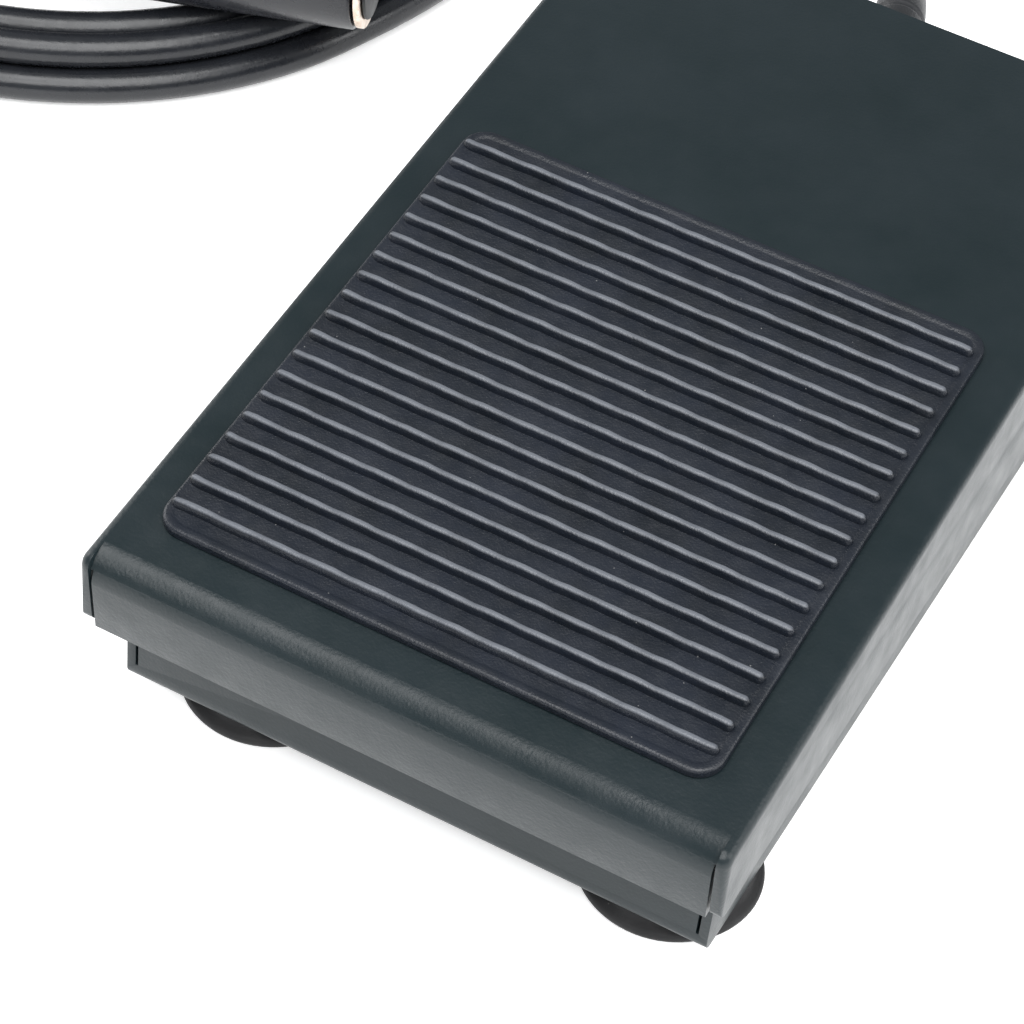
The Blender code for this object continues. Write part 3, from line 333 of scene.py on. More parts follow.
def make_surfaces():
    made = {}
    made["powder_coat"] = make_surface(
        "powder_coat",
        (0.0070, 0.0145, 0.0172),
        0.36,
        ior=1.42,
        tint=(0.0092, 0.0152, 0.0180),
        patch=(70, 0.14),
        rough_patch=(260, 0.05),
        bumps=((2600, 0.000030), (900, 0.000022)),
        dust=(130, 0.016, (0.30, 0.32, 0.31)),
    )
    made["tread_rubber"] = make_tread_rubber()
    made["foot_rubber"] = make_surface(
        "foot_rubber",
        (0.006, 0.006, 0.007),
        0.66,
        bumps=((3500, 0.00004),),
        dust=(500, 0.05, (0.07, 0.07, 0.065)),
    )
    made["boot_rubber"] = make_surface(
        "boot_rubber",
        (0.012, 0.013, 0.015),
        0.50,
        bumps=((3000, 0.00003),),
        dust=(400, 0.03, (0.09, 0.09, 0.09)),
    )
    made["zinc_steel"] = make_surface(
        "zinc_steel",
        (0.50, 0.51, 0.53),
        0.30,
        metallic=1.0,
        tint=(0.56, 0.54, 0.48),
        patch=(420, 0.10),
        bumps=((2500, 0.000012),),
    )
    made["spring_steel"] = make_surface(
        "spring_steel",
        (0.36, 0.36, 0.38),
        0.26,
        metallic=1.0,
        tint=(0.42, 0.40, 0.36),
        patch=(500, 0.12),
        bumps=((3800, 0.000010),),
        stretch=(1, 1, 0.4),
    )
    made["nylon"] = make_surface(
        "nylon",
        (0.70, 0.69, 0.63),
        0.42,
        patch=(300, 0.05),
        bumps=((1800, 0.00002),),
    )
    made["switch_plastic"] = make_surface(
        "switch_plastic",
        (0.018, 0.018, 0.020),
        0.38,
        bumps=((5200, 0.00003),),
        dust=(450, 0.03, (0.08, 0.08, 0.08)),
    )
    made["red_plastic"] = make_surface("red_plastic", (0.42, 0.035, 0.025), 0.36, patch=(400, 0.08))
    made["white_insulation"] = make_surface("white_insulation", (0.72, 0.71, 0.67), 0.40, patch=(400, 0.06))
    made["brass"] = make_surface(
        "brass",
        (0.66, 0.52, 0.40),
        0.30,
        metallic=1.0,
        tint=(0.78, 0.66, 0.58),
        patch=(900, 0.22),
        bumps=((3000, 0.000012),),
    )
    made["nickel"] = make_surface(
        "nickel",
        (0.62, 0.60, 0.56),
        0.16,
        metallic=1.0,
        tint=(0.68, 0.66, 0.63),
        patch=(260, 0.05),
        bumps=((2200, 0.000006),),
    )
    made["plug_plastic"] = make_surface(
        "plug_plastic",
        (0.016, 0.017, 0.021),
        0.27,
        patch=(200, 0.12),
        rough_patch=(420, 0.07),
        bumps=((2600, 0.000012),),
        dust=(360, 0.025, (0.12, 0.12, 0.12)),
    )
    made["cable_jacket"] = make_surface(
        "cable_jacket",
        (0.0125, 0.0138, 0.0170),
        0.27,
        patch=(160, 0.15),
        rough_patch=(500, 0.06),
        bumps=((1500, 0.000018), (5200, 0.000010)),
        dust=(300, 0.02, (0.10, 0.10, 0.10)),
    )
    return made


SURFACES = make_surfaces()


# ---------------------------------------------------------------- mesh tools


def object_from(name, bm, smooth_degrees=35):
    bmesh.ops.recalc_face_normals(bm, faces=bm.faces)
    mesh = bpy.data.meshes.new(name)
    bm.to_mesh(mesh)
    bm.free()
    mesh.shade_smooth()
    mesh.set_sharp_from_angle(angle=math.radians(smooth_degrees))
    obj = bpy.data.objects.new(name, mesh)
    bpy.context.scene.collection.objects.link(obj)
    return obj


def settled(obj, smooth_degrees=35):
    """Bakes an object's modifiers into its mesh."""
    bpy.context.view_layer.update()
    shown = obj.evaluated_get(bpy.context.evaluated_depsgraph_get())
    mesh = bpy.data.meshes.new_from_object(shown)
    old = obj.data
    obj.modifiers.clear()
    obj.data = mesh
    bpy.data.meshes.remove(old)
    mesh.shade_smooth()
    mesh.set_sharp_from_angle(angle=math.radians(smooth_degrees))
    return obj


def boolean(obj, bm, place=None):
    """Cuts a shape out of an object, for good."""
    if place:
        bmesh.ops.transform(bm, matrix=place, verts=bm.verts)
    tool = object_from("tool", bm)
    modifier = obj.modifiers.new("cut", "BOOLEAN")
    modifier.operation = "DIFFERENCE"
    modifier.solver = "EXACT"
    modifier.object = tool
    settled(obj)
    mesh = tool.data
    bpy.data.objects.remove(tool)
    bpy.data.meshes.remove(mesh)


def soften(obj, width, segments=3, limit=38):
    """Rounds the sharp edges of an object."""
    bm = bmesh.new()
    bm.from_mesh(obj.data)
    bmesh.ops.remove_doubles(bm, verts=bm.verts, dist=2e-6)
    bmesh.ops.dissolve_limit(bm, angle_limit=math.radians(0.6), verts=bm.verts, edges=bm.edges)
    bm.to_mesh(obj.data)
    bm.free()
    modifier = obj.modifiers.new("round", "BEVEL")
    modifier.width = width
    modifier.segments = segments
    modifier.limit_method = "ANGLE"
    modifier.angle_limit = math.radians(limit)
    modifier.use_clamp_overlap = True
    modifier.miter_outer = "MITER_ARC"
    return settled(obj, 30)


def finish_piece(obj, body, slot, *nodes):
    obj.data.materials.clear()
    obj.data.materials.append(SURFACES[slot])
    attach(obj, body)
    if nodes:
        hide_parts(*nodes)
    return obj


def prism(outline, x_low, x_high):
    """A solid with this (y, z) outline, from x_low to x_high."""
    bm = bmesh.new()
    bm.faces.new([bm.verts.new((x_low, y, z)) for y, z in outline])
    made = bmesh.ops.extrude_face_region(bm, geom=bm.faces[:])
    high = [v for v in made["geom"] if isinstance(v, bmesh.types.BMVert)]
    bmesh.ops.translate(bm, verts=high, vec=(x_high - x_low, 0, 0))
    bmesh.ops.recalc_face_normals(bm, faces=bm.faces)
    return bm


def block(low, high):
    bm = bmesh.new()
    middle = (Vector(low) + Vector(high)) / 2
    size = Vector(high) - Vector(low)
    bmesh.ops.create_cube(bm, size=1, matrix=Matrix.Translation(middle) @ Matrix.Diagonal((*size, 1)))
    return bm


def arc(y, z, radius, start, end, steps):
    angles = [math.radians(start + (end - start) * i / steps) for i in range(steps + 1)]
    return [(y + radius * math.cos(a), z + radius * math.sin(a)) for a in angles]


def eased(profile, radius, steps=3):
    """A profile with its corners rounded."""
    points = [Vector(p) for p in profile]
    out = [points[0]]
    for before, corner, after in zip(points, points[1:], points[2:]):
        back = before - corner
        ahead = after - corner
        reach = min(radius, back.length * 0.45, ahead.length * 0.45)
        start = corner + back.normalized() * reach
        end = corner + ahead.normalized() * reach
        for i in range(steps + 1):
            t = i / steps
            out.append(start.lerp(corner, t).lerp(corner.lerp(end, t), t))
    out.append(points[-1])
    return [tuple(p) for p in out]


def turned(profile, segments):
    """A solid of revolution about Z; an open profile runs from the axis to the axis."""
    bm = bmesh.new()
    rings = []
    for radius, z in profile:
        if radius < 1e-6:
            rings.append([bm.verts.new((0, 0, z))])
            continue
        angles = [math.tau * k / segments for k in range(segments)]
        rings.append([bm.verts.new((radius * math.cos(a), radius * math.sin(a), z)) for a in angles])
    for a, b in zip(rings, rings[1:]):
        for k in range(segments):
            n = (k + 1) % segments
            corners = [a[k % len(a)], a[n % len(a)], b[n % len(b)], b[k % len(b)]]
            corners = list(dict.fromkeys(corners))
            if len(corners) > 2:
                bm.faces.new(corners)
    return bm


def placed(bm, at, turn=(0, 0, 0)):
    """Moves a mesh to a world point, turned by XYZ angles."""
    about_x, about_y, about_z = (Matrix.Rotation(angle, 4, axis) for angle, axis in zip(turn, "XYZ"))
    from_euler = about_z @ about_y @ about_x
    bmesh.ops.transform(bm, matrix=Matrix.Translation(at) @ from_euler, verts=bm.verts)
    return bm


def cylinder(radius, length, at, axis, segments=48):
    bm = turned([(0, -length / 2), (radius, -length / 2), (radius, length / 2), (0, length / 2)], segments)
    turn = {"X": (0, math.pi / 2, 0), "Y": (-math.pi / 2, 0, 0), "Z": (0, 0, 0)}[axis]
    return placed(bm, at, turn)


def smooth_line(points, steps):
    """Points on a centripetal Catmull-Rom curve, a number of steps between each two points of a route."""
    route = [Vector(p) for p in points]
    route = [2 * route[0] - route[1], *route, 2 * route[-1] - route[-2]]
    fine = []
    for a, b, c, d in zip(route, route[1:], route[2:], route[3:]):
        t1 = (b - a).length ** 0.5
        t2 = t1 + (c - b).length ** 0.5
        t3 = t2 + (d - c).length ** 0.5
        for i in range(steps):
            t = t1 + (t2 - t1) * i / steps
            ab = a.lerp(b, t / t1)
            bc = b.lerp(c, (t - t1) / (t2 - t1))
            cd = c.lerp(d, (t - t2) / (t3 - t2))
            fine.append(ab.lerp(bc, t / t2).lerp(bc.lerp(cd, (t - t1) / (t3 - t1)), (t - t1) / (t2 - t1)))
    fine.append(route[-2])
    return fine


def swept(stations, sides=32, bore=None):
    """A tube along stations of (centre, outer radius), solid or bored."""
    bm = bmesh.new()
    centres = [centre for centre, _ in stations]
    outer = []
    inner = []
    side = None
    for i, (centre, radius) in enumerate(stations):
        ahead = centres[min(i + 1, len(centres) - 1)] - centres[max(i - 1, 0)]
        if side is None:
            side = Vector((0, 0, 1)).cross(ahead)
            side = side if side.length > 1e-6 else Vector((1, 0, 0))
        side = (side - ahead.normalized() * side.dot(ahead.normalized())).normalized()
        up = ahead.cross(side).normalized()
        reaches = [
            side * math.cos(math.tau * k / sides) + up * math.sin(math.tau * k / sides) for k in range(sides)
        ]
        outer.append([bm.verts.new(centre + reach * radius) for reach in reaches])
        if bore:
            inner.append([bm.verts.new(centre + reach * bore) for reach in reaches])
    for rings in (outer, inner):
        for a, b in zip(rings, rings[1:]):
            for k in range(sides):
                bm.faces.new((a[k], a[(k + 1) % sides], b[(k + 1) % sides], b[k]))
    for end in (0, -1):
        if not bore:
            bm.faces.new(outer[end])
            continue
        a, b = outer[end], inner[end]
        for k in range(sides):
            bm.faces.new((a[k], a[(k + 1) % sides], b[(k + 1) % sides], b[k]))
    return bm


# ---------------------------------------------------------------- cable


def behind_front(points):
    """World points of a route whose y is measured behind the cover's front face."""
    return [Vector((x, world_y(y), z)) for x, y, z in points]


OUTSIDE_ROUTE = behind_front(
    [
        (-0.0040, 0.1088, 0.0180),
        (-0.0040, 0.1168, 0.0180),
        (-0.0047, 0.1258, 0.0178),
        (-0.0066, 0.1345, 0.0170),
        (-0.0106, 0.1442, 0.0146),
        (-0.0175, 0.1535, 0.0104),
        (-0.0270, 0.1606, 0.0059),
        (-0.0378, 0.1634, 0.0030),
        (-0.0482, 0.1607, 0.0022),
        (-0.0560, 0.1535, 0.0022),
        (-0.0606, 0.1454, 0.0022),
        (-0.0624, 0.1390, 0.0022),
    ]
)
PLUG_ROUTE = behind_front(
    [
        (-0.0857, 0.1643, 0.0103),
        (-0.0755, 0.1563, 0.0103),
        (-0.0675, 0.1483, 0.0101),
        (-0.0613, 0.1398, 0.0105),
        (-0.0565, 0.1305, 0.0117),
        (-0.0532, 0.1216, 0.0140),
        (-0.0524, 0.1179, 0.0150),
        (-0.0533, 0.1132, 0.0160),
        (-0.0560, 0.1093, 0.0164),
        (-0.0602, 0.1069, 0.0163),
    ]
)
# Radius and height of the cable's turns: three on the floor, two on top, and the last stretch over them
FLOOR_Z = CORD_RADIUS + 0.0001
UPPER_Z = FLOOR_Z + 0.0037
TOP_Z = 0.0101
OUTER_TURN = (0.0536, FLOOR_Z)
MIDDLE_TURN = (0.0493, FLOOR_Z)
INNER_TURN = (0.0450, FLOOR_Z)
UPPER_INNER_TURN = (0.04715, UPPER_Z)
UPPER_OUTER_TURN = (0.05145, UPPER_Z)
TOP_TURN = (0.0493, TOP_Z)
CLIMB = (0.0454, UPPER_Z)

# Degrees wound when the cable reaches each turn; it winds clockwise from where it meets the coil
COIL_START = 9
COIL_STATIONS = (
    (0, (0.0572, FLOOR_Z)),
    (20, OUTER_TURN),
    (243, OUTER_TURN),
    (288, MIDDLE_TURN),
    (603, MIDDLE_TURN),
    (648, INNER_TURN),
    (928, INNER_TURN),
    (950, CLIMB),
    (970, UPPER_INNER_TURN),
    (1253, UPPER_INNER_TURN),
    (1290, UPPER_OUTER_TURN),
    (1578, UPPER_OUTER_TURN),
    (1613, TOP_TURN),
    (1725, TOP_TURN),
    (1757, (0.0496, 0.0103)),
)
COIL_STEP = 12


def coil_points():
    """The cable's turns, each change from one to the next spread over a short stretch."""
    points = []
    end = COIL_STATIONS[-1][0]
    wound = COIL_STEP
    while wound < end - COIL_STEP / 2:
        before = max(s for s in COIL_STATIONS if s[0] <= wound)
        after = min(s for s in COIL_STATIONS if s[0] > wound)
        share = (wound - before[0]) / (after[0] - before[0])
        share = share * share * (3 - 2 * share)
        radius = before[1][0] + (after[1][0] - before[1][0]) * share
        height = before[1][1] + (after[1][1] - before[1][1]) * share
        angle = math.radians(COIL_START - wound)
        points.append(
            Vector((COIL_X + radius * math.cos(angle), world_y(COIL_Y) + radius * math.sin(angle), height))
        )
        wound += COIL_STEP
    return points


def plug_direction():
    """The way the plug points, from its cable end to its tip."""
    level = math.cos(PLUG_DIP)
    return Vector((-level * math.cos(PLUG_TURN), -level * math.sin(PLUG_TURN), -math.sin(PLUG_DIP)))


def make_cord():
    towards_tip = plug_direction()
    inside_bushing = Vector((PLUG_AT[0], world_y(PLUG_AT[1]), PLUG_AT[2])) - towards_tip * 0.0018
    line = smooth_line([*OUTSIDE_ROUTE, *coil_points(), *PLUG_ROUTE, inside_bushing], 4)
    curve = bpy.data.curves.new("cord", "CURVE")
    curve.dimensions = "3D"
    curve.bevel_depth = CORD_RADIUS
    curve.bevel_resolution = 6
    curve.use_fill_caps = True
    spline = curve.splines.new("POLY")
    spline.points.add(len(line) - 1)
    for target, point in zip(spline.points, line):
        target.co = (*point, 1)
    spline.use_smooth = True
    curve.materials.append(SURFACES["cable_jacket"])
    cord = bpy.data.objects.new("cord", curve)
    bpy.context.scene.collection.objects.link(cord)
    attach(cord, "base")
    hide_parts("cord_run", "cord_coil", "cord_plug_end")
    length = sum((b - a).length for a, b in zip(line, line[1:]))
    print(f"cord centreline {length:.3f} m")
    return cord


def make_boot():
    """The strain relief: a clip and flange in the rear wall, then a taper with cut rings."""
    wall = world_y(TRAY_REAR)
    exit_at = Vector((CORD_EXIT_X, wall, CORD_EXIT_Z))
    fine = [p for p in smooth_line(OUTSIDE_ROUTE, 40) if wall + 0.0026 < p.y]
    tip = next(i for i, p in enumerate(fine) if p.y > world_y(BOOT_TIP))
    stations = []
    for back, radius in BOOT_CLIP:
        stations.append((exit_at - Vector((0, back, 0)), radius))
    for ahead, radius in BOOT_FLANGE:
        stations.append((exit_at + Vector((0, ahead, 0)), radius))
    first, last = BOOT_GROOVES_START, BOOT_GROOVES_END
    pitch = (last - first) / BOOT_GROOVES
    for point in fine[:tip]:
        reach = point.y - wall
        share = min(max((reach - BOOT_TAPER_START) / BOOT_TAPER, 0), 1)
        radius = BOOT_ROOT_RADIUS - BOOT_TIP_RADIUS_LOSS * share
        if first < reach < last:
            phase = (reach - first) / pitch % 1
            depth = BOOT_GROOVE_DEPTH * (1 - 0.5 * share)
            if phase < BOOT_GROOVE_SHARE:
                radius -= depth * math.sin(math.pi * phase / BOOT_GROOVE_SHARE) ** 0.5
        stations.append((point, radius))
    end, end_radius = stations[-1]
    stations[-1] = (end, end_radius - 0.00025)
    boot = object_from("strain_relief_boot", swept(stations, 40, CORD_RADIUS + BOOT_PLAY), 50)
    return finish_piece(boot, "base", "boot_rubber", "strain_relief")


def make_plug():
    """The plug's parts on one axis: bushing, brass end ring, moulded handle, collar and jack."""
    at = Vector((PLUG_AT[0], world_y(PLUG_AT[1]), PLUG_AT[2]))
    along = (0, math.pi / 2 + PLUG_DIP, PLUG_TURN + math.pi)
    r = PLUG_RADIUS
    made = []

    def part(name, profile, slot, node, ease):
        bm = placed(turned(eased(profile, ease), 72), at, along)
        piece = object_from(name, bm, 40)
        made.append(finish_piece(piece, "base", slot, node))

    bushing = [(0, -0.0026), (0.0026, -0.0026), (0.0029, -0.0014), (0.0033, -0.0007), (0.0055, -0.0005)]
    bushing += [(0.0056, -0.0001), (0.0032, -0.0001), (0.0032, 0.0008), (0, 0.0008)]
    part("plug_cable_bushing", bushing, "boot_rubber", "plug_bushing", 0.0003)
    bore = 0.0035
    rim = r - 0.0003
    ring = [(bore, 0.0004), (bore, 0), (rim, 0), (rim, 0.0008), (bore, 0.0008), (bore, 0.0004)]
    part("plug_brass_ring", ring, "brass", "plug_end_ring", 0.00012)
    low = 0.0008 + GAP
    high = low + PLUG_HANDLE
    handle = [(0, low), (r, low), (r, low + 0.004), (r, high - 0.0150), (r - 0.0006, high - 0.0140)]
    handle += [(r - 0.0006, high - 0.0030), (r - 0.0016, high), (0, high)]
    part("plug_barrel", handle, "plug_plastic", "plug_handle", 0.00045)
    low = high + GAP
    high = low + 0.0016
    collar = [(0, low), (0.0048, low), (0.0048, high), (0, high)]
    part("plug_nickel_collar", collar, "nickel", "plug_collar", 0.0003)
    j = JACK_RADIUS
    low = high + GAP
    end = low + JACK_LENGTH
    high = low + JACK_SLEEVE
    part("plug_jack_sleeve", [(0, low), (j, low), (j, high), (0, high)], "nickel", "plug_sleeve", 0.00015)
    low = high + GAP
    high = low + 0.0012
    band = [(0, low), (j * 0.97, low), (j * 0.97, high), (0, high)]
    part("plug_jack_band", band, "plug_plastic", "plug_insulator", 0.0001)
    low = high + GAP
    nose = [
        (0, low),
        (j, low),
        (j, low + 0.0018),
        (j * 0.62, low + 0.0036),
        (j * 0.66, low + 0.0042),
        (j * 0.98, low + 0.0062),
        (j * 0.80, end - 0.0014),
        (j * 0.36, end - 0.0002),
        (0, end),
    ]
    part("plug_jack_tip", nose, "nickel", "plug_tip", 0.0007)
    return made


CORD = make_cord()
BOOT = make_boot()
PLUG = make_plug()


# ---------------------------------------------------------------- treadle


def cover_height(world_z, y):
    """The height in the cover's frame of a world height, above a point y along the cover."""
    return (world_z - FRONT_HEIGHT - y * math.sin(SLOPE)) / math.cos(SLOPE)


def side_outline(inset):
    """The cover's side view in its own frame: the side folds' corner outside, the soft bend inside."""
    rear = LENGTH / math.cos(SLOPE)
    deep = FLANGE_DEPTH
    points = [(inset, -deep)]
    if inset:
        points += arc(FRONT_BEND, -FRONT_BEND, FRONT_BEND - inset, 180, 90, 18)
        return points + [(rear + CUT_FAR_PAST, -inset), (rear + CUT_FAR_PAST, -deep)]
    points += arc(SIDE_CORNER, -SIDE_CORNER, SIDE_CORNER, 180, 90, 10)
    return points + [(rear, 0), (rear - deep * math.tan(SLOPE), -deep)]


def bend_cutter():
    """What lies outside the soft front bend, between the side folds, whose top corners stay sharper."""
    inner = WIDTH / 2 - COVER_SHEET
    outline = [(-CUT_PAST, -FRONT_BEND)]
    outline += arc(FRONT_BEND, -FRONT_BEND, FRONT_BEND + OFF_PLANE, 180, 90, 24)
    outline += [(FRONT_BEND, CUT_PAST), (-CUT_PAST, CUT_PAST)]
    return prism(outline, -inner, inner)


def make_cover():
    """The folded sheet: soft front bend, sharp side folds, open corner seams and eased cut edges."""
    half = WIDTH / 2
    rear = LENGTH / math.cos(SLOPE)
    low = -FLANGE_DEPTH - CUT_FAR_PAST
    bm = prism(side_outline(0), -half, half)
    top_edges = [
        e
        for e in bm.edges
        if all(abs(abs(v.co.x) - half) < 1e-6 and v.co.z > -SIDE_CORNER - 1e-5 for v in e.verts)
        and abs(e.verts[0].co.x - e.verts[1].co.x) < 1e-6
    ]
    bmesh.ops.bevel(bm, geom=top_edges, offset=SIDE_BEND, segments=8, affect="EDGES", profile=0.5)
    bmesh.ops.transform(bm, matrix=COVER_PLACE, verts=bm.verts)
    obj = object_from("cover_sheet", bm)
    inner = half - COVER_SHEET
    boolean(obj, bend_cutter(), COVER_PLACE)
    boolean(obj, prism(side_outline(COVER_SHEET), -inner, inner), COVER_PLACE)
    low_front = cover_height(SIDE_FLANGE_BOTTOM - NOSE_DROP, 0)
    low_nose = cover_height(SIDE_FLANGE_BOTTOM, NOSE_LENGTH)
    low_rear = cover_height(SIDE_FLANGE_BOTTOM, rear + CUT_FAR_PAST)
    behind = COVER_SHEET + 0.0004
    foot = block((SEAM / 2 - inner, -CUT_PAST, low), (inner - SEAM / 2, behind, -FRONT_FLANGE))
    boolean(obj, foot, COVER_PLACE)
    for side in (-1, 1):
        edge = side * (inner - SEAM)
        slot = block(
            (min(edge, side * inner), -CUT_PAST, low),
            (max(edge, side * inner), SEAM_DEPTH, SEAM_TOP),
        )
        boolean(obj, slot, COVER_PLACE)
        skirt = arc(NOSE_RADIUS - OFF_PLANE, low_front + NOSE_RADIUS, NOSE_RADIUS, 180, 270, 8)
        skirt += [(NOSE_LENGTH, low_nose), (rear + CUT_FAR_PAST, low_rear), (rear + CUT_FAR_PAST, low)]
        skirt += [(-CUT_PAST, low), (-CUT_PAST, low_front + NOSE_RADIUS)]
        span = sorted((side * (inner - 0.0001), side * (half + CUT_PAST)))
        boolean(obj, prism(skirt, *span), COVER_PLACE)
    hole = (0, world_y(HINGE_Y), HINGE_Z)
    boolean(obj, cylinder(AXLE_RADIUS + GAP, WIDTH + CUT_FAR_PAST, hole, "X"))
    soften(obj, COVER_EDGE, 3)
    return finish_piece(obj, "treadle", "powder_coat", "cover")


def rib_mesh(bm, left, right, middle, base, half_width, height):
    """One moulded rib: a rounded crest with sloping flanks and rounded ends, closed underneath."""
    profile = [(-1.0, -0.35), (-1.0, 0.0), (-0.84, 0.42), (-0.64, 0.76), (-0.40, 0.95), (-0.14, 1.0)]
    profile = profile + [(-y, z) for y, z in reversed(profile)]
    ends = 7
    stations = []
    for i in range(ends + 1):
        angle = math.pi / 2 * i / ends
        stations.append((left + half_width * (1 - math.sin(angle)), max(math.cos(angle), 0.10)))
    stations.reverse()
    steps = 60
    for i in range(1, steps):
        x = left + half_width + (right - left - 2 * half_width) * i / steps
        stations.append((x, 1.0))
    for i in range(ends + 1):
        angle = math.pi / 2 * i / ends
        stations.append((right - half_width * (1 - math.sin(angle)), max(math.cos(angle), 0.10)))
    rings = []
    stations.sort()
    for i, (x, share) in enumerate(stations):
        sway = 0.00003 * math.sin(x * 900 + middle * 7000) + 0.00002 * math.sin(x * 2300 + middle * 3000)
        lift = height * (0.35 + 0.65 * share) * (1 + 0.04 * math.sin(x * 1300 + middle * 5000))
        ring = []
        for y, z in profile:
            top = z * lift if z > 0 else z * height
            ring.append(bm.verts.new((x, middle + sway + y * half_width * share, base + top)))
        rings.append(ring)
    count = len(profile)
    for a, b in zip(rings, rings[1:]):
        for k in range(count):
            bm.faces.new((a[k], a[(k + 1) % count], b[(k + 1) % count], b[k]))
    bm.faces.new(rings[0])
    bm.faces.new(rings[-1])


def rounded_rectangle(left, right, front, rear, corner, steps=10):
    points = []
    for x, y, start in (
        (right - corner, rear - corner, 0),
        (left + corner, rear - corner, 90),
        (left + corner, front + corner, 180),
        (right - corner, front + corner, 270),
    ):
        points += arc(x, y, corner, start, start + 90, steps)
    return points


def make_pad():
    """The ribbed mat: a thin base with a rounded rim and a low lip, and cross ribs."""
    bm = bmesh.new()
    low = GAP * 0.5
    top = GAP + PAD_BASE
    rim = 0.00038
    loops = []
    layers = [(0.0, low), (0.0, top - rim)]
    layers += [(rim * (1 - math.cos(a)), top - rim + rim * math.sin(a)) for a in (0.4, 0.8, 1.2)]
    layers += [(rim, top), (0.00085, top), (0.00105, top - 0.00012), (0.0013, top - 0.00016)]
    for inset, z in layers:
        outline = rounded_rectangle(
            PAD_LEFT + inset, PAD_RIGHT - inset, PAD_FRONT + inset, PAD_REAR - inset, PAD_CORNER - inset
        )
        loops.append([bm.verts.new((x, y, z)) for x, y in outline])
    for a, b in zip(loops, loops[1:]):
        for k in range(len(a)):
            n = (k + 1) % len(a)
            bm.faces.new((a[k], a[n], b[n], b[k]))
    bm.faces.new(loops[0])
    bm.faces.new(loops[-1])
    pitch = (PAD_REAR - PAD_FRONT) / (RIBS + 1)
    for i in range(RIBS):
        middle = PAD_FRONT + (i + 1) * pitch
        left = PAD_LEFT + RIB_MARGIN_LEFT
        right = PAD_RIGHT - RIB_MARGIN_RIGHT
        rib_mesh(bm, left, right, middle, top - 0.0002, RIB_WIDTH / 2, RIB_HEIGHT + 0.0002)
    bmesh.ops.transform(bm, matrix=COVER_PLACE, verts=bm.verts)
    pad = object_from("tread_mat", bm, 60)
    return finish_piece(pad, "treadle", "tread_rubber", "tread_pad")


make_cover()
make_pad()


# ---------------------------------------------------------------- tray and feet


def tray_outline(inset):
    """The tray's side view in world coordinates, its side walls rising to the rear."""
    front = world_y(TRAY_FRONT) + inset
    rear = world_y(TRAY_REAR) - inset
    bottom = TRAY_BOTTOM + inset
    bend = max(TRAY_BEND - inset, 0.0003)
    high = ABOVE_TRAY if inset else TRAY_SIDE_TOP_REAR
    outline = arc(front + bend, bottom + bend, bend, 180, 270, 8)
    outline += arc(rear - bend, bottom + bend, bend, 270, 360, 8)
    outline.append((rear, high))
    if inset:
        return outline + [(front, high)]
    return outline + [(world_y(HINGE_Y), high), (front, TRAY_SIDE_TOP_FRONT)]


def make_tray():
    bm = prism(tray_outline(0), -TRAY_HALF_WIDTH, TRAY_HALF_WIDTH)
    low_edges = [
        e
        for e in bm.edges
        if abs(e.verts[0].co.x - e.verts[1].co.x) < 1e-6 and all(v.co.z < TRAY_BOTTOM + 1e-5 for v in e.verts)
    ]
    bmesh.ops.bevel(bm, geom=low_edges, offset=TRAY_BEND * 0.8, segments=6, affect="EDGES", profile=0.5)
    obj = object_from("tray_sheet", bm)
    inner = TRAY_HALF_WIDTH - TRAY_SHEET
    boolean(obj, prism(tray_outline(TRAY_SHEET), -inner, inner))
    front = world_y(TRAY_FRONT)
    near, far = front - CUT_PAST, front + TRAY_SHEET + 0.0002
    boolean(obj, block((-inner, near, TRAY_FRONT_TOP), (inner, far, ABOVE_TRAY)))
    for side, foot_x in zip((-1, 1), FOOT_COLUMNS_X):
        seam = sorted((side * inner, side * (inner - SEAM)))
        slot_low = (seam[0], near, TRAY_BOTTOM + TRAY_SEAM_START)
        boolean(obj, block(slot_low, (seam[1], far, ABOVE_TRAY)))
        boolean(obj, cylinder(0.0028, 0.006, (side * TRAY_HALF_WIDTH, world_y(HINGE_Y), HINGE_Z), "X"))
        for y in FOOT_ROWS_Y:
            boolean(obj, cylinder(SCREW_RADIUS + GAP, 0.006, (foot_x, world_y(y), TRAY_BOTTOM), "Z"))
    boolean(obj, cylinder(0.0045, 0.006, (CORD_EXIT_X, world_y(TRAY_REAR), CORD_EXIT_Z), "Y"))
    for x, y in TRAY_SCREW_HOLES:
        boolean(obj, cylinder(SCREW_RADIUS + GAP, 0.006, (x, world_y(y), TRAY_BOTTOM), "Z"))
    soften(obj, TRAY_EDGE, 2)
    return finish_piece(obj, "base", "powder_coat", "base_tray")


def make_feet():
    top = TRAY_BOTTOM - GAP
    r = FOOT_RADIUS
    profile = [
        (0.0018, 0.0018),
        (0.0018, top),
        (r * 0.86, top),
        (r * 0.88, 0.0018),
        (r * 0.985, 0.0013),
        (r, 0.0008),
        (r * 0.97, 0.0002),
        (r * 0.92, 0),
        (0.0042, 0),
        (0.0034, 0.0010),
        (0.0034, 0.0018),
        (0.0018, 0.0018),
    ]
    for row, y in zip(("front", "rear"), FOOT_ROWS_Y):
        for column, x in zip(("left", "right"), FOOT_COLUMNS_X):
            bm = placed(turned(eased(profile, 0.00035), 72), (x, world_y(y), 0))
            bmesh.ops.remove_doubles(bm, verts=bm.verts, dist=1e-7)
            foot = object_from(f"rubber_foot_{row}_{column}", bm, 50)
            finish_piece(foot, "base", "foot_rubber", f"foot_{row}_{column}")


make_tray()
make_feet()


# ---------------------------------------------------------------- screws, spring and inner parts


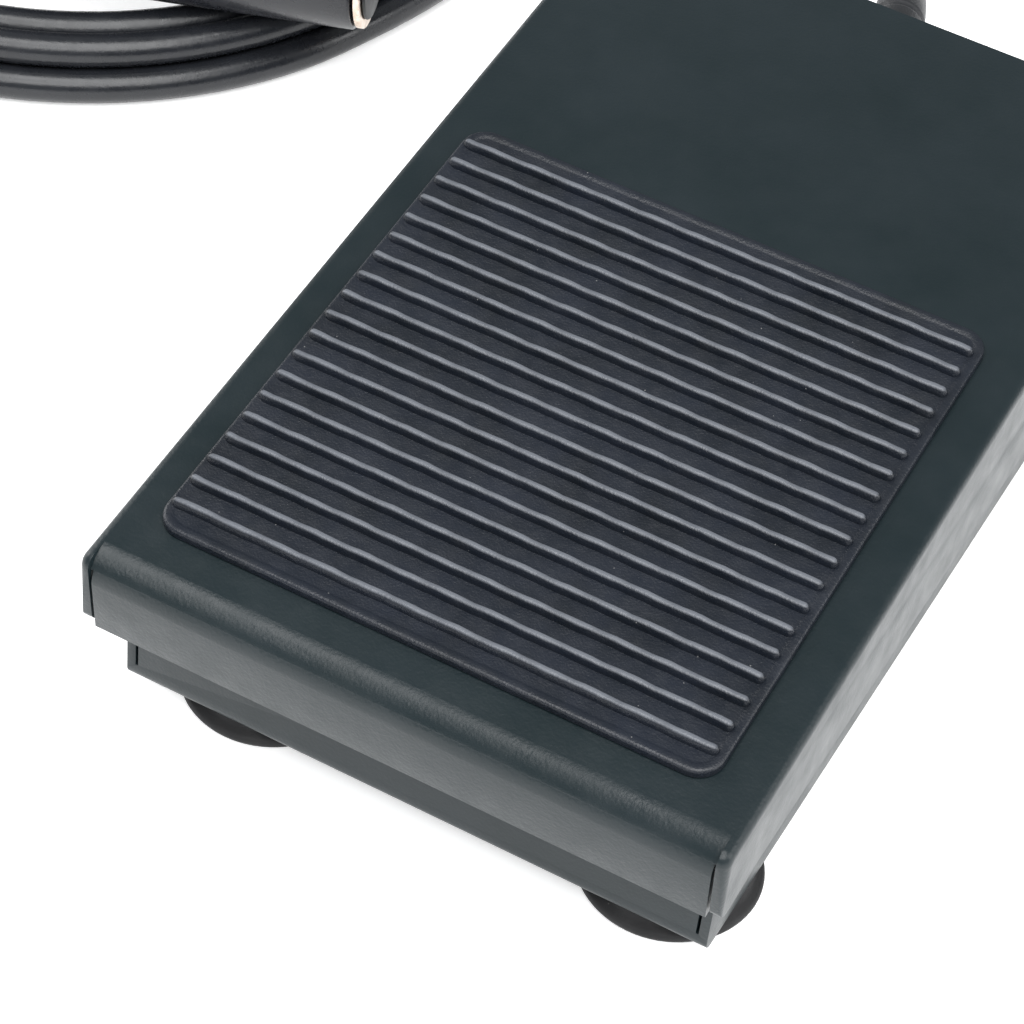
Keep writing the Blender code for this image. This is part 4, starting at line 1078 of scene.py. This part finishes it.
def screw_piece(node, axis, head_height):
    """A pan-head screw in place of a node, its head on the axis' signed side, with a recess and a thread."""
    low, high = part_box(node)
    centre = (low + high) / 2
    index = "XYZ".index(axis[0])
    sign = 1 if axis[1] == "+" else -1
    head_radius = (high - low)[(index + 1) % 3] / 2
    total = (high - low)[index]
    length = total - head_height
    profile = [(0, -length), (SCREW_RADIUS * 0.7, -length), (SCREW_RADIUS * 0.94, -length + 0.0006)]
    z = -length + 0.0008
    while z < -0.0009:
        profile += [(SCREW_RADIUS * 0.84, z), (SCREW_RADIUS, z + THREAD_PITCH / 2)]
        z += THREAD_PITCH
    profile += [(SCREW_RADIUS * 0.86, -0.0003), (SCREW_RADIUS * 0.86, 0)]
    crown = [(head_radius, 0), (head_radius, head_height * 0.42), (head_radius * 0.76, head_height * 0.86)]
    crown += [(head_radius * 0.40, head_height), (0, head_height)]
    head = eased([profile[-1], *crown], 0.0004)
    turn = {"Z+": (0, 0, 0), "Z-": (math.pi, 0, 0), "X+": (0, math.pi / 2, 0)}[axis]
    start = Vector(centre)
    start[index] = (high[index] - head_height) if sign > 0 else (low[index] + head_height)
    bm = placed(turned(profile + head[1:], 40), start, turn)
    obj = object_from(node + "_piece", bm, 40)
    for spin in (0, math.pi / 2):
        low_corner = (-RECESS_HALF_LENGTH, -RECESS_HALF_WIDTH, head_height * 0.45)
        bar = block(low_corner, (RECESS_HALF_LENGTH, RECESS_HALF_WIDTH, head_height + 0.001))
        bmesh.ops.rotate(bar, verts=bar.verts, cent=(0, 0, 0), matrix=Matrix.Rotation(spin, 3, "Z"))
        boolean(obj, placed(bar, start, turn))
    return finish_piece(obj, "base", "zinc_steel", node)


def make_screws():
    for row in ("front", "rear"):
        for column in ("left", "right"):
            screw_piece(f"foot_screw_{row}_{column}", "Z-", 0.0011)
        screw_piece(f"bracket_screw_{row}", "Z+", 0.0016)
        screw_piece(f"switch_screw_{row}", "X+", 0.0016)
    screw_piece("spring_seat_screw", "Z-", 0.0015)
    screw_piece("clamp_screw_left", "Z+", 0.0016)
    screw_piece("clamp_screw_right", "Z+", 0.0016)


def spring_line(steps=36):
    """The spring's wire: closed turns at both ends, open turns between."""
    low = SPRING_BOTTOM + SPRING_WIRE / 2
    high = SPRING_TOP - SPRING_WIRE / 2
    closed = SPRING_WIRE * 1.12
    points = []
    for i in range(SPRING_TURNS * steps + 1):
        turn = i / steps
        ends = min(turn, 1) * closed + max(turn - (SPRING_TURNS - 1), 0) * closed
        open_share = min(max((turn - 1) / (SPRING_TURNS - 2), 0), 1)
        z = low + ends + open_share * (high - low - 2 * closed)
        angle = math.tau * turn
        points.append(
            Vector((SPRING_RADIUS * math.cos(angle), world_y(SPRING_Y) + SPRING_RADIUS * math.sin(angle), z))
        )
    return points


def make_spring():
    stations = [(point, SPRING_WIRE / 2) for point in spring_line()]
    spring = object_from("coil_spring", swept(stations, 14), 50)
    finish_piece(spring, "base", "spring_steel", "return_spring")
    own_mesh(spring)


def smoothed_copy(node, body, slot, width):
    """A copy of a CAD node with its edges rounded, in the node's place."""
    source = bpy.data.objects[node]
    bm = bmesh.new()
    bm.from_mesh(source.data)
    bmesh.ops.remove_doubles(bm, verts=bm.verts, dist=2e-6)
    obj = object_from(node + "_piece", bm, 40)
    soften(obj, width, 2)
    return finish_piece(obj, body, slot, node)


def make_inner_parts():
    for node, body, slot, width in (
        ("switch_housing", "base", "switch_plastic", 0.00015),
        ("switch_button", "button", "red_plastic", 0.00012),
        ("switch_lever", "lever", "spring_steel", 0.00010),
        ("switch_bracket", "base", "zinc_steel", 0.00015),
        ("cord_clamp", "base", "zinc_steel", 0.00012),
        ("front_stop_strip", "base", "foot_rubber", 0.00020),
        ("rear_rest_strip", "base", "foot_rubber", 0.00020),
        ("switch_nut_front", "base", "zinc_steel", 0.00015),
        ("switch_nut_rear", "base", "zinc_steel", 0.00015),
        ("terminal_common", "base", "brass", 0.00005),
        ("terminal_open", "base", "brass", 0.00005),
        ("terminal_closed", "base", "brass", 0.00005),
        ("axle_clip_left", "base", "spring_steel", 0.00008),
        ("axle_clip_right", "base", "spring_steel", 0.00008),
        ("spring_seat", "base", "nylon", 0.00012),
        ("spring_cap", "treadle", "nylon", 0.00012),
        ("actuator_post", "treadle", "nylon", 0.00010),
        ("hinge_bush_left", "base", "nylon", 0.00012),
        ("hinge_bush_right", "base", "nylon", 0.00012),
        ("hinge_axle", "base", "zinc_steel", 0.00012),
    ):
        smoothed_copy(node, body, slot, width)


def repaint_nodes():
    """Gives each CAD node that still shows its slot's surface."""
    slots = {row["node"]: row["material_slot"] for row in frame["record"]["subparts"]}
    for node, slot in slots.items():
        obj = bpy.data.objects.get(node)
        if obj and not obj.hide_render:
            obj.data.materials.clear()
            obj.data.materials.append(SURFACES[slot])


make_screws()
make_spring()
make_inner_parts()
repaint_nodes()


# ---------------------------------------------------------------- floor and light


FLOOR_COLOUR = (0.95, 0.95, 0.95, 1)
FLOOR_GLOW = 0.42
WORLD_COLOUR = (0.93, 0.97, 1.0, 1)
WORLD_STRENGTH = 0.35
# Each softbox: name, place, target, size and radiance
SOFTBOXES = (
    ("front_softbox", (0.30, -0.62, 0.80), (0, 0, 0), (1.10, 0.50), 5.0),
    ("overhead_softbox", (0.05, -0.25, 1.05), (0, -0.02, 0), (1.00, 0.50), 5.6),
    ("left_softbox", (-0.95, 0.10, 0.45), (-0.05, 0, 0), (0.60, 0.70), 4.0),
    ("right_softbox", (0.95, 0.15, 0.45), (0.05, 0, 0), (0.60, 0.70), 4.0),
)


def make_floor():
    made = bpy.data.materials.new("studio_floor")
    made.use_nodes = True
    tree = made.node_tree
    shader = tree.nodes["Principled BSDF"]
    shader.inputs["Base Color"].default_value = FLOOR_COLOUR
    shader.inputs["Roughness"].default_value = 0.9
    shader.inputs["Emission Color"].default_value = (1, 1, 1, 1)
    shader.inputs["Emission Strength"].default_value = FLOOR_GLOW
    shader.inputs["Specular IOR Level"].default_value = 0.1
    bm = bmesh.new()
    bmesh.ops.create_grid(bm, x_segments=2, y_segments=2, size=2.5)
    floor = object_from("studio_floor", bm)
    floor.data.materials.append(made)


def area_light(name, at, target, size, radiance):
    data = bpy.data.lights.new(name, "AREA")
    data.shape = "RECTANGLE"
    data.size, data.size_y = size
    data.energy = radiance * math.pi * size[0] * size[1]
    light = bpy.data.objects.new(name, data)
    light.location = at
    light.rotation_euler = (Vector(target) - Vector(at)).to_track_quat("-Z", "Y").to_euler()
    bpy.context.scene.collection.objects.link(light)


def make_light():
    for softbox in SOFTBOXES:
        area_light(*softbox)
    world = bpy.data.worlds.new("studio")
    world.use_nodes = True
    background = world.node_tree.nodes["Background"]
    background.inputs["Color"].default_value = WORLD_COLOUR
    background.inputs["Strength"].default_value = WORLD_STRENGTH
    bpy.context.scene.world = world
    bpy.context.scene.view_settings.view_transform = "Standard"


make_floor()
make_light()
